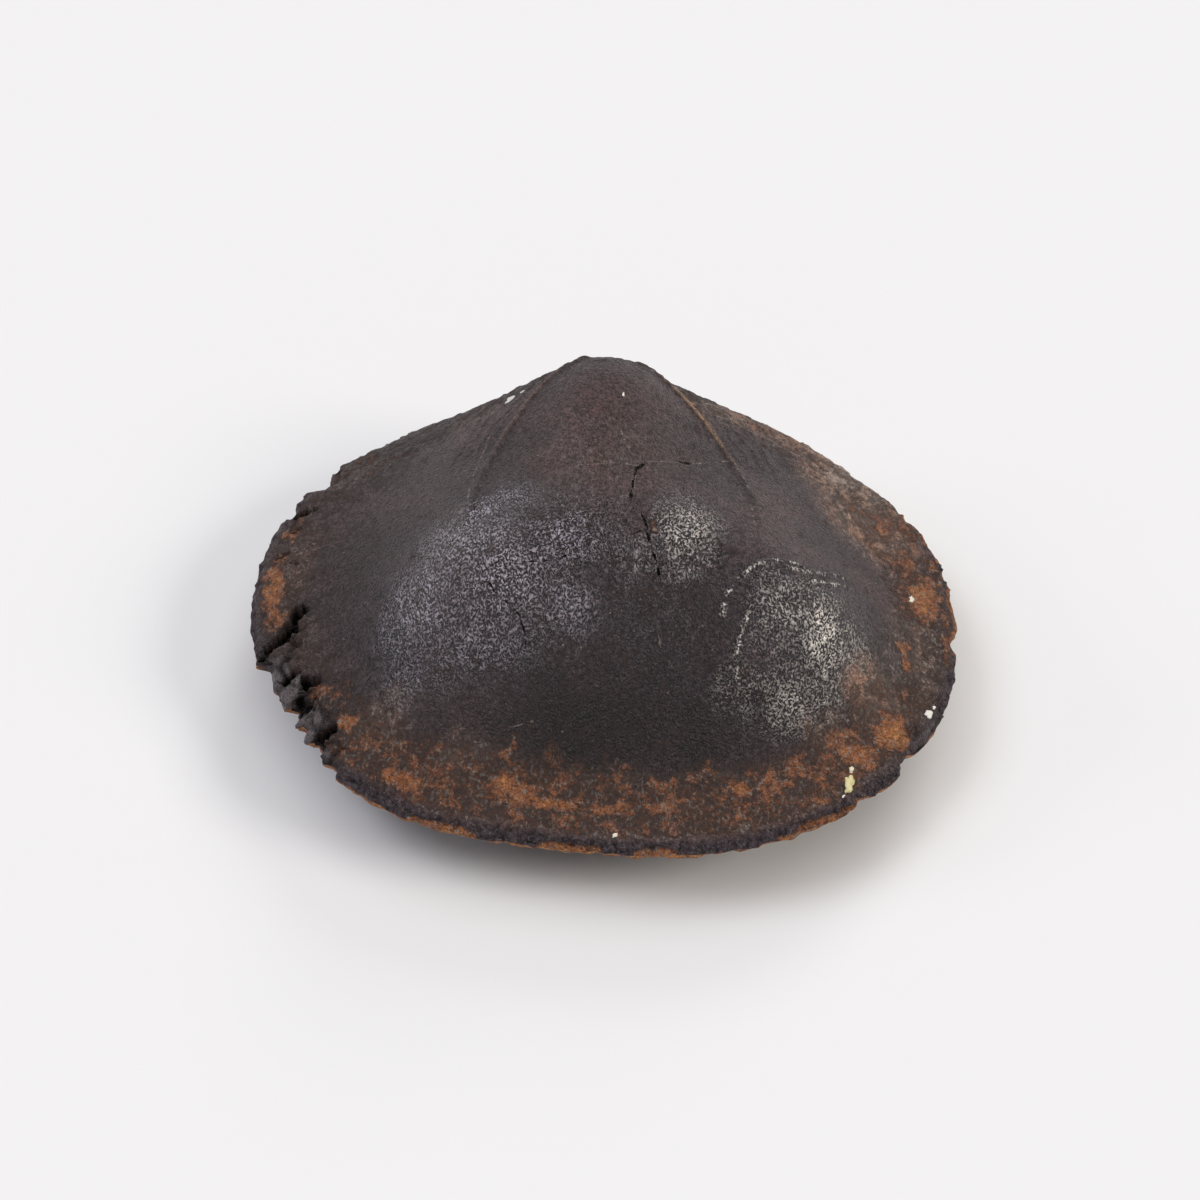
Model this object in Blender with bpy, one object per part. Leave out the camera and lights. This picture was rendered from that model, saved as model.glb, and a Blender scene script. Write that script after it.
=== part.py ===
"""Brachiopod fossil: both valves of a smooth lamp shell, joined by the rock that fills them.

The stone is one piece. It lies on its shallow lower valve, +Z up, with the beaks at +Y and
the long front margin at -Y. The shell surface is worked out in millimetres round the plan's
centre, in shell coordinates: a bearing round the plan and a level that runs from 1 at the top
of the upper valve, through 0 at the margin, to -1 under the lower valve.
"""

import math

import bmesh
import bpy
import numpy as np
from mathutils import Euler, Matrix, Vector, noise

NAME = "brachiopod_fossil"
MM = 0.001

# Plan outline: half a superellipse in front of the widest line and half behind it.
HALF_WIDTH_LEFT, HALF_WIDTH_RIGHT = 19.1, 20.0
WIDEST_Y = 0.2
FRONT_REACH, BACK_REACH = 15.6, 15.4
FRONT_POWER, BACK_POWER = 2.2, 2.25
FRONT_SKEW = 0.055  # the front bulges to the right of the middle
# Swellings and flats of the margin: bearing, spread (degrees) and how far it stands out.
MARGIN_SWELLS = (
    (-124.0, 11.0, 0.45),
    (-161.0, 10.0, -0.35),
    (38.0, 18.0, -1.1),
    (124.0, 14.0, -0.5),
)

# Heights above the surface it lies on.
MARGIN_Z = 5.0
EDGE_RISE = 0.4  # half the thickness of the blunt margin
TOP_Z, CREASE_Z = 14.0, 6.2

# Upper valve: a dome on a sloping brim, with a beak behind. The dome's foot is a squircle.
DOME_CENTRE = (0.6, 0.0)
DOME_LEFT, DOME_RIGHT, DOME_RIGHT_BACK = 14.6, 17.0, 14.4
DOME_FRONT, DOME_BACK = 11.5, 15.5
DOME_SQUARENESS = 0.35
DOME_BLEND = 4.0  # over this distance one quarter's radius turns into the next one's
DOME_POWER = 2.2  # how long the dome stays high before it drops to its foot
# Bearing and spread in degrees, and added power: two lobes, the beak, and the hollows beside it.
DOME_STAYS_HIGH = (
    (-152.0, 24.0, 0.9),
    (-28.0, 20.0, 1.1),
    (90.0, 20.0, 0.9),
    (132.0, 20.0, -0.5),
    (46.0, 20.0, -0.85),
)
# Gentle swellings of the dome: centre, spread and height. Two lobes, and the sulcus between them.
SWELLINGS = (
    (-6.4, -5.6, 3.6, 0.8),
    (11.4, -5.6, 3.2, 1.1),
    (2.8, -7.4, 3.2, -0.5),
)
BRIM_SLOPE, BRIM_SLOPE_BACK = 0.26, 0.32
CREASE_SOFTNESS, CREASE_SOFTNESS_BACK = 1.2, 1.5
BACK_BEGINS = (-3.0, 9.0)  # the front's brim turns into the back's between these Y
EDGE_LIFT, EDGE_STEEPNESS = 0.25, 2.0  # the soft crease lifts the very margin no more than this
BEAK_START_Y, BEAK_RISE, BEAK_EASE = 5.0, 0.34, 2.2
BEAK_HALF_WIDTH, BEAK_POWER = 5.4, 2.5

# Posterior: the hinge lies in a groove under the beak's curl.
CURL_DEPTH, CURL_HALF_WIDTH, CURL_BEGINS = 2.0, 5.5, (11.0, 14.5)
CURL_POWER = 1.2  # how closely the groove keeps to the margin's own height
EDGE_SPAN, EDGE_SPAN_BEAK = 0.035, 0.09  # levels over which the margin turns
BEAK_ARC = (0.75, 1.0)  # sine of the bearings over which the beak's span takes over

# Lower valve, and the worn flat that it rests on.
LOWER_POWER = 2.3
WORN_DEPTH = 0.15

# Edge of the shell layer that has flaked off the dome, an arch open to the front.
ARCH_CENTRE, ARCH_HALF_WIDTH, ARCH_LENGTH, ARCH_POWER = (0.6, 1.0), 7.6, 12.0, 1.7
LAYER_THICKNESS, LAYER_FADE = 0.14, 3.0
LAYER_BEGINS, LAYER_EDGE = (-3.0, 3.0), (-0.1, 0.3)  # Y where it begins, and the width of its step

# Uneven crust along the brim: size and height of its lumps, and how far from the margin it reaches.
LUMP_SIZE, LUMP_HEIGHT, CRUST_REACH = 2.4, 0.16, 1.6
MESH_CUTS = 25

# Breaks in the brim: centre, size of the block that breaks it, and its turns in degrees.
BREAKS = (
    ("crevice", (-17.6, -1.7, 6.6), (0.9, 4.6, 2.6), (0.0, 24.0, -29.0)),
    ("chip_a", (-17.3, -4.9, 6.6), (5.0, 2.3, 3.0), (8.0, -42.0, 20.0)),
    ("chip_b", (-16.4, -7.6, 6.4), (5.0, 2.1, 3.0), (-10.0, -36.0, 36.0)),
    ("chip_c", (-14.8, -10.0, 6.4), (5.0, 2.0, 3.0), (12.0, -42.0, 50.0)),
    ("chip_back_left", (-16.4, 9.2, 6.5), (4.0, 2.2, 3.0), (-8.0, -38.0, -34.0)),
    ("chip_right", (16.6, -9.4, 6.4), (4.0, 1.8, 3.0), (0.0, 40.0, -34.0)),
)


def smooth_step(value, low, high):
    share = np.clip((value - low) / (high - low), 0.0, 1.0)
    return share * share * (3.0 - 2.0 * share)


def soft_max(a, b, softness):
    return 0.5 * (a + b + np.sqrt((a - b) ** 2 + softness**2))


def bell(distance, spread):
    return np.exp(-0.5 * (distance / spread) ** 2)


def turn_over(value, low, high, span):
    """A value that passes smoothly from low to high as the position crosses zero."""
    return low + (high - low) * 0.5 * (1.0 + np.tanh(value / span))


def plan_radius(bearing):
    """Distance from the plan's centre to the margin."""
    across, along = np.cos(bearing), np.sin(bearing)
    front = along < 0
    half_width = np.where(across < 0, HALF_WIDTH_LEFT, HALF_WIDTH_RIGHT)
    reach = np.where(front, FRONT_REACH, BACK_REACH)
    power = np.where(front, FRONT_POWER, BACK_POWER)
    radius = (np.abs(across / half_width) ** power + np.abs(along / reach) ** power) ** (-1 / power)
    radius = radius * (1 - FRONT_SKEW * np.sin(2 * bearing) * np.maximum(0, -along))
    for centre, spread, height in MARGIN_SWELLS:
        away = np.degrees(bearing) - centre
        radius = radius + height * bell((away + 180) % 360 - 180, spread)
    return radius


def dome_power(a, b):
    """How long the dome stays high towards each side: 2 at its centre, more along the lobes."""
    bearing = np.degrees(np.arctan2(b, a))
    added = DOME_POWER - 2.0
    for towards, spread, more in DOME_STAYS_HIGH:
        added = added + more * bell((bearing - towards + 180) % 360 - 180, spread)
    near = a**2 + b**2
    return 2.0 + added * near / (near + 0.1)


def dome_height(x, y):
    """The upper valve without its brim; outside the crease it passes below the brim."""
    u, v = x - DOME_CENTRE[0], y - DOME_CENTRE[1]
    side = turn_over(u, DOME_LEFT, DOME_RIGHT, DOME_BLEND)
    narrowing = turn_over(v, 0.0, 1.0, DOME_BLEND) * turn_over(u, 0.0, 1.0, DOME_BLEND)
    side = side - (DOME_RIGHT - DOME_RIGHT_BACK) * narrowing
    reach = turn_over(v, DOME_FRONT, DOME_BACK, DOME_BLEND)
    a, b = u / side, v / reach
    out = np.sqrt(a**2 + b**2 - DOME_SQUARENESS * a**2 * b**2)
    height = TOP_Z - (TOP_Z - CREASE_Z) * out ** dome_power(a, b)
    past = y - BEAK_START_Y
    beak = BEAK_RISE * 0.5 * (past + np.sqrt(past**2 + BEAK_EASE**2))
    height = height + beak / (1 + np.abs(x / BEAK_HALF_WIDTH) ** BEAK_POWER)
    for across, along, spread, swelling in SWELLINGS:
        height = height + swelling * bell(np.hypot(x - across, y - along), spread)
    return height


def shell_layer(x, y):
    """The thin outer layer that is left outside the arch; it feathers out away from it."""
    u, v = np.abs(x - ARCH_CENTRE[0]) / ARCH_HALF_WIDTH, (y - ARCH_CENTRE[1]) / ARCH_LENGTH
    out = (u**ARCH_POWER + np.maximum(v, 0) ** ARCH_POWER) ** (1 / ARCH_POWER)
    outside = (out - 1) * ARCH_HALF_WIDTH
    fade = np.exp(-np.maximum(outside, 0) / LAYER_FADE) * smooth_step(y, *LAYER_BEGINS)
    return LAYER_THICKNESS * fade * smooth_step(outside, *LAYER_EDGE)


def upper_height(x, y, inset):
    """The dome and the brim, run together in a soft crease; inset is the distance from the margin."""
    back = smooth_step(y, *BACK_BEGINS)
    slope = BRIM_SLOPE + (BRIM_SLOPE_BACK - BRIM_SLOPE) * back
    softness = CREASE_SOFTNESS + (CREASE_SOFTNESS_BACK - CREASE_SOFTNESS) * back
    brim = MARGIN_Z + EDGE_RISE + slope * inset
    blunt = soft_max(dome_height(x, y), brim, softness)
    steepest = brim + EDGE_LIFT + EDGE_STEEPNESS * inset
    return np.minimum(blunt, steepest) + shell_layer(x, y)


def lower_height(share):
    """The lower valve, from the margin (share 1) to its middle, as it was before wear."""
    depth = MARGIN_Z - EDGE_RISE + WORN_DEPTH
    return MARGIN_Z - EDGE_RISE - depth * (1 - share**LOWER_POWER)


def shell_points(directions):
    """Places unit directions on the shell: each one's latitude is its level."""
    bearing = np.arctan2(directions[:, 1], directions[:, 0])
    across = np.hypot(directions[:, 0], directions[:, 1])
    level = np.arctan2(directions[:, 2], across) / (math.pi / 2)
    depth = np.abs(level)
    span = EDGE_SPAN + (EDGE_SPAN_BEAK - EDGE_SPAN) * smooth_step(np.sin(bearing), *BEAK_ARC)
    inward = (np.hypot(depth, span) - span) / (np.hypot(1, span) - span)
    radius = plan_radius(bearing)
    share = 1 - inward
    x = share * radius * np.cos(bearing)
    y = WIDEST_Y + share * radius * np.sin(bearing)
    valve = np.where(level >= 0, upper_height(x, y, inward * radius), lower_height(share))
    turned = depth / np.hypot(depth, span)
    z = np.maximum(MARGIN_Z + (valve - MARGIN_Z) * turned, 0.0)  # worn flat where it rests
    curl = CURL_DEPTH * bell(x, CURL_HALF_WIDTH) * smooth_step(y, *CURL_BEGINS)
    y = y - curl * (1 - turned) ** CURL_POWER
    return np.column_stack((x, y, z))


def add_crust(points):
    """Raises uneven lumps on the brim, fading out on the dome and on the worn flat."""
    for point in points:
        lump = noise.fractal(Vector(point) / LUMP_SIZE, 1.0, 2.0, 3)
        near_margin = bell(point[2] - MARGIN_Z, CRUST_REACH)
        out = Vector((point[0], point[1], 0)).normalized()
        point += np.array(out) * lump * LUMP_HEIGHT * near_margin
    return points


def collection(name):
    made = bpy.data.collections.new(name)
    bpy.context.scene.collection.children.link(made)
    return made


def add_object(name, mesh, group):
    made = bpy.data.objects.new(name, mesh)
    group.objects.link(made)
    return made


def fossil_material():
    """Iron-rich stone: nearly black brown with a satin shine."""
    material = bpy.data.materials.new("ironstone")
    material.use_nodes = True
    shader = material.node_tree.nodes["Principled BSDF"]
    shader.inputs["Base Color"].default_value = (0.052, 0.036, 0.034, 1.0)
    shader.inputs["Roughness"].default_value = 0.45
    shader.inputs["Metallic"].default_value = 0.0
    return material


def build_shell(group):
    """A cube's grid, blown up into a ball and laid on the shell surface."""
    shape = bmesh.new()
    bmesh.ops.create_cube(shape, size=2.0)
    bmesh.ops.subdivide_edges(shape, edges=shape.edges[:], cuts=MESH_CUTS, use_grid_fill=True)
    cube = np.array([vertex.co for vertex in shape.verts], dtype=float)
    even = np.tan(cube * math.pi / 4)  # keeps the ball's quads about the same size
    directions = even / np.linalg.norm(even, axis=1, keepdims=True)
    points = add_crust(shell_points(directions))
    points[:, :2] -= (points[:, :2].max(axis=0) + points[:, :2].min(axis=0)) / 2
    for vertex, point in zip(shape.verts, points):
        vertex.co = Vector(point) * MM
    bmesh.ops.triangulate(shape, faces=shape.faces[:])
    mesh = bpy.data.meshes.new(NAME)
    shape.to_mesh(mesh)
    shape.free()
    mesh.shade_smooth()
    mesh.materials.append(fossil_material())
    return add_object(NAME, mesh, group)


def break_brim(shell, group):
    """Cuts each break out of the brim with a turned block, which leaves flat fresh faces."""
    for name, centre, size, turns in BREAKS:
        block = bmesh.new()
        bmesh.ops.create_cube(block, size=1.0)
        mesh = bpy.data.meshes.new(name)
        block.to_mesh(mesh)
        block.free()
        cutter = add_object(name, mesh, group)
        turn = Euler([math.radians(angle) for angle in turns]).to_matrix().to_4x4()
        place = Matrix.Translation(Vector(centre) * MM)
        cutter.matrix_world = place @ turn @ Matrix.Diagonal((*(Vector(size) * MM), 1))
        cutter.hide_render = True
        cutter.display_type = "WIRE"
        cut = shell.modifiers.new(name, "BOOLEAN")
        cut.operation = "DIFFERENCE"
        cut.solver = "EXACT"
        cut.object = cutter


for leftover in list(bpy.data.objects):
    bpy.data.objects.remove(leftover, do_unlink=True)
break_brim(build_shell(collection(NAME)), collection("cutters"))
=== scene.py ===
import math

import bmesh
import bpy
import numpy as np
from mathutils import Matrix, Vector, noise


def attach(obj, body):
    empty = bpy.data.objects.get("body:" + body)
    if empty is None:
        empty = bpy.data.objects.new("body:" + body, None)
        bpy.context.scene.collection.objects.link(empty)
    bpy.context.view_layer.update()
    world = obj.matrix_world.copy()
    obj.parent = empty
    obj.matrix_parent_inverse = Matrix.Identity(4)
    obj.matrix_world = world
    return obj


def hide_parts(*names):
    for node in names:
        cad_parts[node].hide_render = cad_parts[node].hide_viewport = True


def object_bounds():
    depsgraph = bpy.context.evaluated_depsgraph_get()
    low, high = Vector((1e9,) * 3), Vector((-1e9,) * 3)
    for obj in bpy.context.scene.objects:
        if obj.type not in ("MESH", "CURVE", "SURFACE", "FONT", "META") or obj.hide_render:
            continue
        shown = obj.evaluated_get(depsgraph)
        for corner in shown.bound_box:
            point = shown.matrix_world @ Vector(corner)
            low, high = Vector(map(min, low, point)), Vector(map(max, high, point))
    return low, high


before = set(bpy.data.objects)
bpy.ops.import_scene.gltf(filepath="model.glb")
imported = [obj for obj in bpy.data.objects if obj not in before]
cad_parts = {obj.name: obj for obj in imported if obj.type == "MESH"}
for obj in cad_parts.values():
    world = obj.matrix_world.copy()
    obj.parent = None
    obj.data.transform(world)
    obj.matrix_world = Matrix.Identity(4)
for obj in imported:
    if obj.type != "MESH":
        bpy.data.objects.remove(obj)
cad_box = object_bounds()

# ---------------------------------------------------------------------------------------------
# Upper valve. A dome on a sloping brim, with the beak behind, of iron-rich stone that took the
# shell's place: dull at the beak, crinkled and polished on two lobes, rusty and crusted on the
# brim, and broken at its left edge. It is one mass with the lower valve, met at a thin margin.

NODE = "brachiopod_fossil"
MM = 0.001

# Outline: half a superellipse in front of the widest line and half behind it. Places and sizes
# are millimetres round the plan's middle, +Z up, unless they say otherwise.
HALF_WIDTH_LEFT, HALF_WIDTH_RIGHT = 19.1, 20.0
WIDEST_Y = 0.2
FRONT_REACH, BACK_REACH = 15.6, 15.4
FRONT_POWER, BACK_POWER = 2.2, 2.25
FRONT_SKEW = 0.055  # the front bulges to the right of the middle
# Swellings and flats of the margin: bearing, spread (degrees) and how far it stands out.
MARGIN_SWELLS = (
    (-124.0, 11.0, 0.45),
    (-161.0, 10.0, -0.35),
    (38.0, 18.0, -1.1),
    (124.0, 14.0, -0.5),
)

# Form of the dome and the brim, and how they run together.
MARGIN_Z = 5.0
EDGE_RISE = 0.4  # half the thickness of the blunt margin
TOP_Z, CREASE_Z = 14.0, 6.2
DOME_CENTRE = (0.6, 0.0)
DOME_LEFT, DOME_RIGHT, DOME_RIGHT_BACK = 14.6, 17.0, 14.4
DOME_FRONT, DOME_BACK = 11.5, 15.5
DOME_SQUARENESS = 0.35
DOME_BLEND = 4.0  # over this distance one quarter's radius turns into the next one's
DOME_POWER = 2.2  # how long the dome stays high before it drops to its foot
DOME_TOP_SHARE = 0.1  # nearer the top than about this, squared, every side is a plain 2
# Bearing and spread in degrees, and added power: two lobes, the beak, and the hollows beside it.
DOME_STAYS_HIGH = (
    (-152.0, 24.0, 0.9),
    (-28.0, 20.0, 1.1),
    (90.0, 20.0, 0.9),
    (132.0, 20.0, -0.5),
    (46.0, 20.0, -0.85),
)
# Gentle swellings of the dome: centre, spread and height. Two lobes, and the sulcus between them.
SWELLINGS = (
    (-6.4, -5.6, 3.6, 0.8),
    (11.4, -5.6, 3.2, 1.1),
    (2.8, -7.4, 3.2, -0.5),
)
BRIM_SLOPE, BRIM_SLOPE_BACK = 0.26, 0.32
CREASE_SOFTNESS, CREASE_SOFTNESS_BACK = 1.2, 1.5
BACK_BEGINS = (-3.0, 9.0)  # the front's brim turns into the back's between these Y
EDGE_LIFT, EDGE_STEEPNESS = 0.25, 2.0  # the crease lifts the very margin no more than this
BEAK_START_Y, BEAK_RISE, BEAK_EASE = 5.0, 0.34, 2.2
BEAK_HALF_WIDTH, BEAK_POWER = 5.4, 2.5


def smooth_step(value, low, high):
    share = np.clip((value - low) / (high - low), 0.0, 1.0)
    return share * share * (3.0 - 2.0 * share)


def soft_max(a, b, softness):
    return 0.5 * (a + b + np.sqrt((a - b) ** 2 + softness**2))


def bell(distance, spread):
    return np.exp(-0.5 * (distance / spread) ** 2)


def turn_over(value, low, high, span):
    """A value that passes smoothly from low to high as the position crosses zero."""
    return low + (high - low) * 0.5 * (1.0 + np.tanh(value / span))


def degrees_apart(bearing, centre):
    return (np.degrees(bearing) - centre + 180) % 360 - 180


def plan_radius(bearing):
    """Distance from the plan's centre to the margin."""
    across, along = np.cos(bearing), np.sin(bearing)
    front = along < 0
    half_width = np.where(across < 0, HALF_WIDTH_LEFT, HALF_WIDTH_RIGHT)
    reach = np.where(front, FRONT_REACH, BACK_REACH)
    power = np.where(front, FRONT_POWER, BACK_POWER)
    radius = (np.abs(across / half_width) ** power + np.abs(along / reach) ** power) ** (-1 / power)
    radius = radius * (1 - FRONT_SKEW * np.sin(2 * bearing) * np.maximum(0, -along))
    for centre, spread, height in MARGIN_SWELLS:
        radius = radius + height * bell(degrees_apart(bearing, centre), spread)
    return radius


def dome_power(a, b):
    """How long the dome stays high towards each side: 2 at its top, more along the lobes."""
    bearing = np.arctan2(b, a)
    added = DOME_POWER - 2.0
    for towards, spread, more in DOME_STAYS_HIGH:
        added = added + more * bell(degrees_apart(bearing, towards), spread)
    near = a**2 + b**2
    return 2.0 + added * near / (near + DOME_TOP_SHARE)


def dome_height(x, y):
    """The upper valve without its brim; outside the crease it passes below the brim."""
    u, v = x - DOME_CENTRE[0], y - DOME_CENTRE[1]
    side = turn_over(u, DOME_LEFT, DOME_RIGHT, DOME_BLEND)
    narrowing = turn_over(v, 0.0, 1.0, DOME_BLEND) * turn_over(u, 0.0, 1.0, DOME_BLEND)
    side = side - (DOME_RIGHT - DOME_RIGHT_BACK) * narrowing
    reach = turn_over(v, DOME_FRONT, DOME_BACK, DOME_BLEND)
    a, b = u / side, v / reach
    out = np.sqrt(a**2 + b**2 - DOME_SQUARENESS * a**2 * b**2)
    height = TOP_Z - (TOP_Z - CREASE_Z) * out ** dome_power(a, b)
    past = y - BEAK_START_Y
    beak = BEAK_RISE * 0.5 * (past + np.sqrt(past**2 + BEAK_EASE**2))
    height = height + beak / (1 + np.abs(x / BEAK_HALF_WIDTH) ** BEAK_POWER)
    for across, along, spread, swelling in SWELLINGS:
        height = height + swelling * bell(np.hypot(x - across, y - along), spread)
    return height


def upper_height(shell):
    """The dome and the brim, run together in a soft crease."""
    back = smooth_step(shell.y, *BACK_BEGINS)
    slope = BRIM_SLOPE + (BRIM_SLOPE_BACK - BRIM_SLOPE) * back
    softness = CREASE_SOFTNESS + (CREASE_SOFTNESS_BACK - CREASE_SOFTNESS) * back
    brim = MARGIN_Z + EDGE_RISE + slope * shell.inset
    blunt = soft_max(dome_height(shell.x, shell.y), brim, softness)
    return np.minimum(blunt, brim + EDGE_LIFT + EDGE_STEEPNESS * shell.inset)


# Broken stretches of the margin: bearing, half-width (degrees) and how far they cut in.
BITES = (
    (-167.0, 1.8, 0.30),
    (-162.6, 1.7, 0.42),
    (-157.6, 2.3, 1.00),
    (-153.4, 1.6, 0.75),
    (-148.6, 2.8, 0.65),
    (-143.6, 2.2, 0.35),
    (149.5, 2.6, 0.55),
    (157.5, 1.6, 0.30),
    (-30.6, 2.4, 0.45),
    (-41.0, 1.6, 0.30),
    (-6.0, 1.4, 0.25),
    (33.0, 1.6, 0.22),
)
BITE_FLOOR, BITE_STEEPNESS = 1.6, 1.4  # a bite is full depth near its middle, then runs out
RAGGED_SIZE, RAGGED_DEPTH, RAGGED_SHARE = 1.1, 0.16, 0.6  # small unevenness of all the margin
WANDER, WANDER_SIZE = 0.5, 0.5  # degrees that the bites' flanks wander, and over how many mm
CUT_BEGINS = 0.55  # share of the way out from the middle where a bite starts to pull points in


def noise_at(points, size, octaves=1, seed=0.0):
    """Fractal noise of that feature size in mm, about -1 to 1."""
    shift = Vector((seed, 1.7 * seed, -0.9 * seed))
    return np.array([noise.fractal(Vector(p) / size + shift, 1.0, 2.1, octaves) for p in points])


def bitten(bearing, radius):
    """How far the margin is broken back at each bearing."""
    rim = np.column_stack((np.cos(bearing), np.sin(bearing), np.zeros(len(bearing))))
    rim = rim * radius[:, None]
    cut = RAGGED_DEPTH * (RAGGED_SHARE + noise_at(rim, RAGGED_SIZE, 4, 3.1))
    wander = degrees_apart(bearing, 0.0) + WANDER * noise_at(rim, WANDER_SIZE, 2, 7.7)
    for centre, half_width, depth in BITES:
        away = np.abs((wander - centre + 180) % 360 - 180)
        cut = cut + depth * np.clip(BITE_FLOOR - BITE_STEEPNESS * away / half_width, 0, 1)
    return np.maximum(cut, 0)


# Turn of the margin, in shell levels (0 at the margin, 1 at the top), and the curl of the back
# margin under the beak.
EDGE_SPAN, EDGE_SPAN_BEAK = 0.035, 0.09
BEAK_ARC = (0.75, 1.0)  # sine of the bearings over which the beak's span takes over
CURL_DEPTH, CURL_HALF_WIDTH, CURL_BEGINS = 2.0, 5.5, (11.0, 14.5)
CURL_POWER = 1.2  # how closely the groove keeps to the margin's own height


class Shell:
    """Points of one valve, with each one's bearing, level and inset from the margin."""

    def __init__(self, directions, height_of):
        self.bearing = np.arctan2(directions[:, 1], directions[:, 0])
        across = np.hypot(directions[:, 0], directions[:, 1])
        self.level = np.arctan2(directions[:, 2], across) / (math.pi / 2)
        depth = np.abs(self.level)
        span = EDGE_SPAN + (EDGE_SPAN_BEAK - EDGE_SPAN) * smooth_step(
            np.sin(self.bearing), *BEAK_ARC
        )
        inward = (np.hypot(depth, span) - span) / (np.hypot(1, span) - span)
        whole = plan_radius(self.bearing)
        cut = bitten(self.bearing, whole)
        away = np.maximum(0, (1 - inward) * whole)
        radius = away - cut * smooth_step(away / whole, CUT_BEGINS, 1.0)
        self.x = radius * np.cos(self.bearing)
        self.y = WIDEST_Y + radius * np.sin(self.bearing)
        self.inset, self.share, self.cut = whole - radius, radius / whole, cut
        self.turned = depth / np.hypot(depth, span)
        z = np.maximum(MARGIN_Z + (height_of(self) - MARGIN_Z) * self.turned, 0.0)
        curl = CURL_DEPTH * bell(self.x, CURL_HALF_WIDTH) * smooth_step(self.y, *CURL_BEGINS)
        self.y = self.y - curl * (1 - self.turned) ** CURL_POWER
        self.points = np.column_stack((self.x, self.y, z))


def plan_middle():
    """Middle of the whole outline's box, which the frame has as its centre."""
    bearing = np.linspace(-math.pi, math.pi, 1441)
    radius = plan_radius(bearing)
    x, y = radius * np.cos(bearing), WIDEST_Y + radius * np.sin(bearing)
    return np.array(((x.max() + x.min()) / 2, (y.max() + y.min()) / 2))


MIDDLE = plan_middle()
CUTS = 179  # of a half ball's grid: 0.1 mm between points at full size


def half_ball(upper):
    """Half of a cube's even grid, with the unit direction of each vertex."""
    shape = bmesh.new()
    bmesh.ops.create_cube(shape, size=2.0)
    bmesh.ops.subdivide_edges(shape, edges=shape.edges[:], cuts=CUTS, use_grid_fill=True)
    side = 1 if upper else -1
    step = 2.0 / (CUTS + 1)
    beyond = [vertex for vertex in shape.verts if vertex.co.z * side < -step / 4]
    bmesh.ops.delete(shape, geom=beyond, context="VERTS")
    cube = np.array([vertex.co for vertex in shape.verts], dtype=float)
    cube[np.abs(cube) < step / 10] = 0.0
    even = np.tan(cube * math.pi / 4)  # keeps the ball's quads about the same size
    return shape, even / np.linalg.norm(even, axis=1, keepdims=True)


def normals_of(shape, points):
    """Places the vertices, in mm, and gives back the surface's normals there."""
    for vertex, point in zip(shape.verts, points):
        vertex.co = Vector(point)
    shape.normal_update()
    return np.array([vertex.normal for vertex in shape.verts])


NO_LINE_ACROSS, NO_LINE_ALONG = 1.0, -10.0  # what a point away from every line is given
BETWEEN_LINES = 2.0  # left out between the distances along one line and the next


def line_offsets(x, y, lines, reach, start=0.0):
    """Signed distance across the nearest of these lines, and the distance along it, in mm."""
    across, along = np.full(len(x), NO_LINE_ACROSS), np.full(len(x), NO_LINE_ALONG)
    nearest = np.full(len(x), reach)
    for line in lines:
        for (x0, y0), (x1, y1) in zip(line, line[1:]):
            length = math.hypot(x1 - x0, y1 - y0)
            ux, uy = (x1 - x0) / length, (y1 - y0) / length
            t = np.clip((x - x0) * ux + (y - y0) * uy, 0, length)
            side = (y - y0) * ux - (x - x0) * uy
            distance = np.hypot(x - x0 - t * ux, y - y0 - t * uy)
            near = distance < nearest
            nearest = np.where(near, distance, nearest)
            across = np.where(near, np.where(side < 0, -distance, distance), across)
            along = np.where(near, start + t, along)
            start += length
        start += BETWEEN_LINES
    return across, along


def patches(x, y, places, steepness=1.5):
    """Strongest of these soft patches at each point: centre, half-widths and amount of each."""
    strongest = np.zeros(len(x))
    for across, along, half_x, half_y, amount in places:
        out = ((x - across) / half_x) ** 2 + ((y - along) / half_y) ** 2
        strongest = np.maximum(strongest, amount * np.exp(-(out**steepness)))
    return strongest


# Ledge of the lower valve's rim, bared where the upper edge has crumbled: bearing, half-width
# in degrees, and width in mm.
LEDGES = (
    (-119.0, 8.0, 0.26),
    (-95.0, 7.0, 0.24),
    (-78.5, 5.0, 0.24),
    (-49.0, 9.0, 0.28),
    (-1.0, 8.0, 0.26),
    (17.0, 8.0, 0.26),
)
LEDGE_ENDS, LEDGE_ROUNDING = 1.6, 0.7  # how a ledge narrows towards its ends
LEDGE_RAGGED, LEDGE_LIMITS = 0.7, (0.3, 1.6)
LEDGE_HEIGHT, LEDGE_EDGE, LEDGE_LEAST = 0.06, 0.05, 0.08

# Flat faces of the broken edge: a point on each, the way it faces (bearing, elevation) and
# half its width.
FACES = (
    ((-17.55, -3.75, 5.45), (-160.0, 50.0), 0.75),
    ((-16.95, -5.45, 5.35), (-164.0, 56.0), 0.85),
    ((-15.75, -7.30, 5.30), (-150.0, 52.0), 1.00),
    ((-14.95, -9.20, 5.20), (-142.0, 40.0), 0.80),
    ((-17.85, -4.30, 4.80), (-176.0, 14.0), 1.10),
    ((-17.15, -5.90, 4.70), (-160.0, 8.0), 1.00),
    ((-15.95, -8.10, 4.70), (-146.0, 12.0), 1.20),
    ((-15.60, 9.60, 5.60), (150.0, 46.0), 1.00),
    ((16.90, -8.30, 5.40), (-36.0, 46.0), 0.90),
)
FACE_REACH = 3.0  # no point further than this from a face's own is pressed onto it

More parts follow.
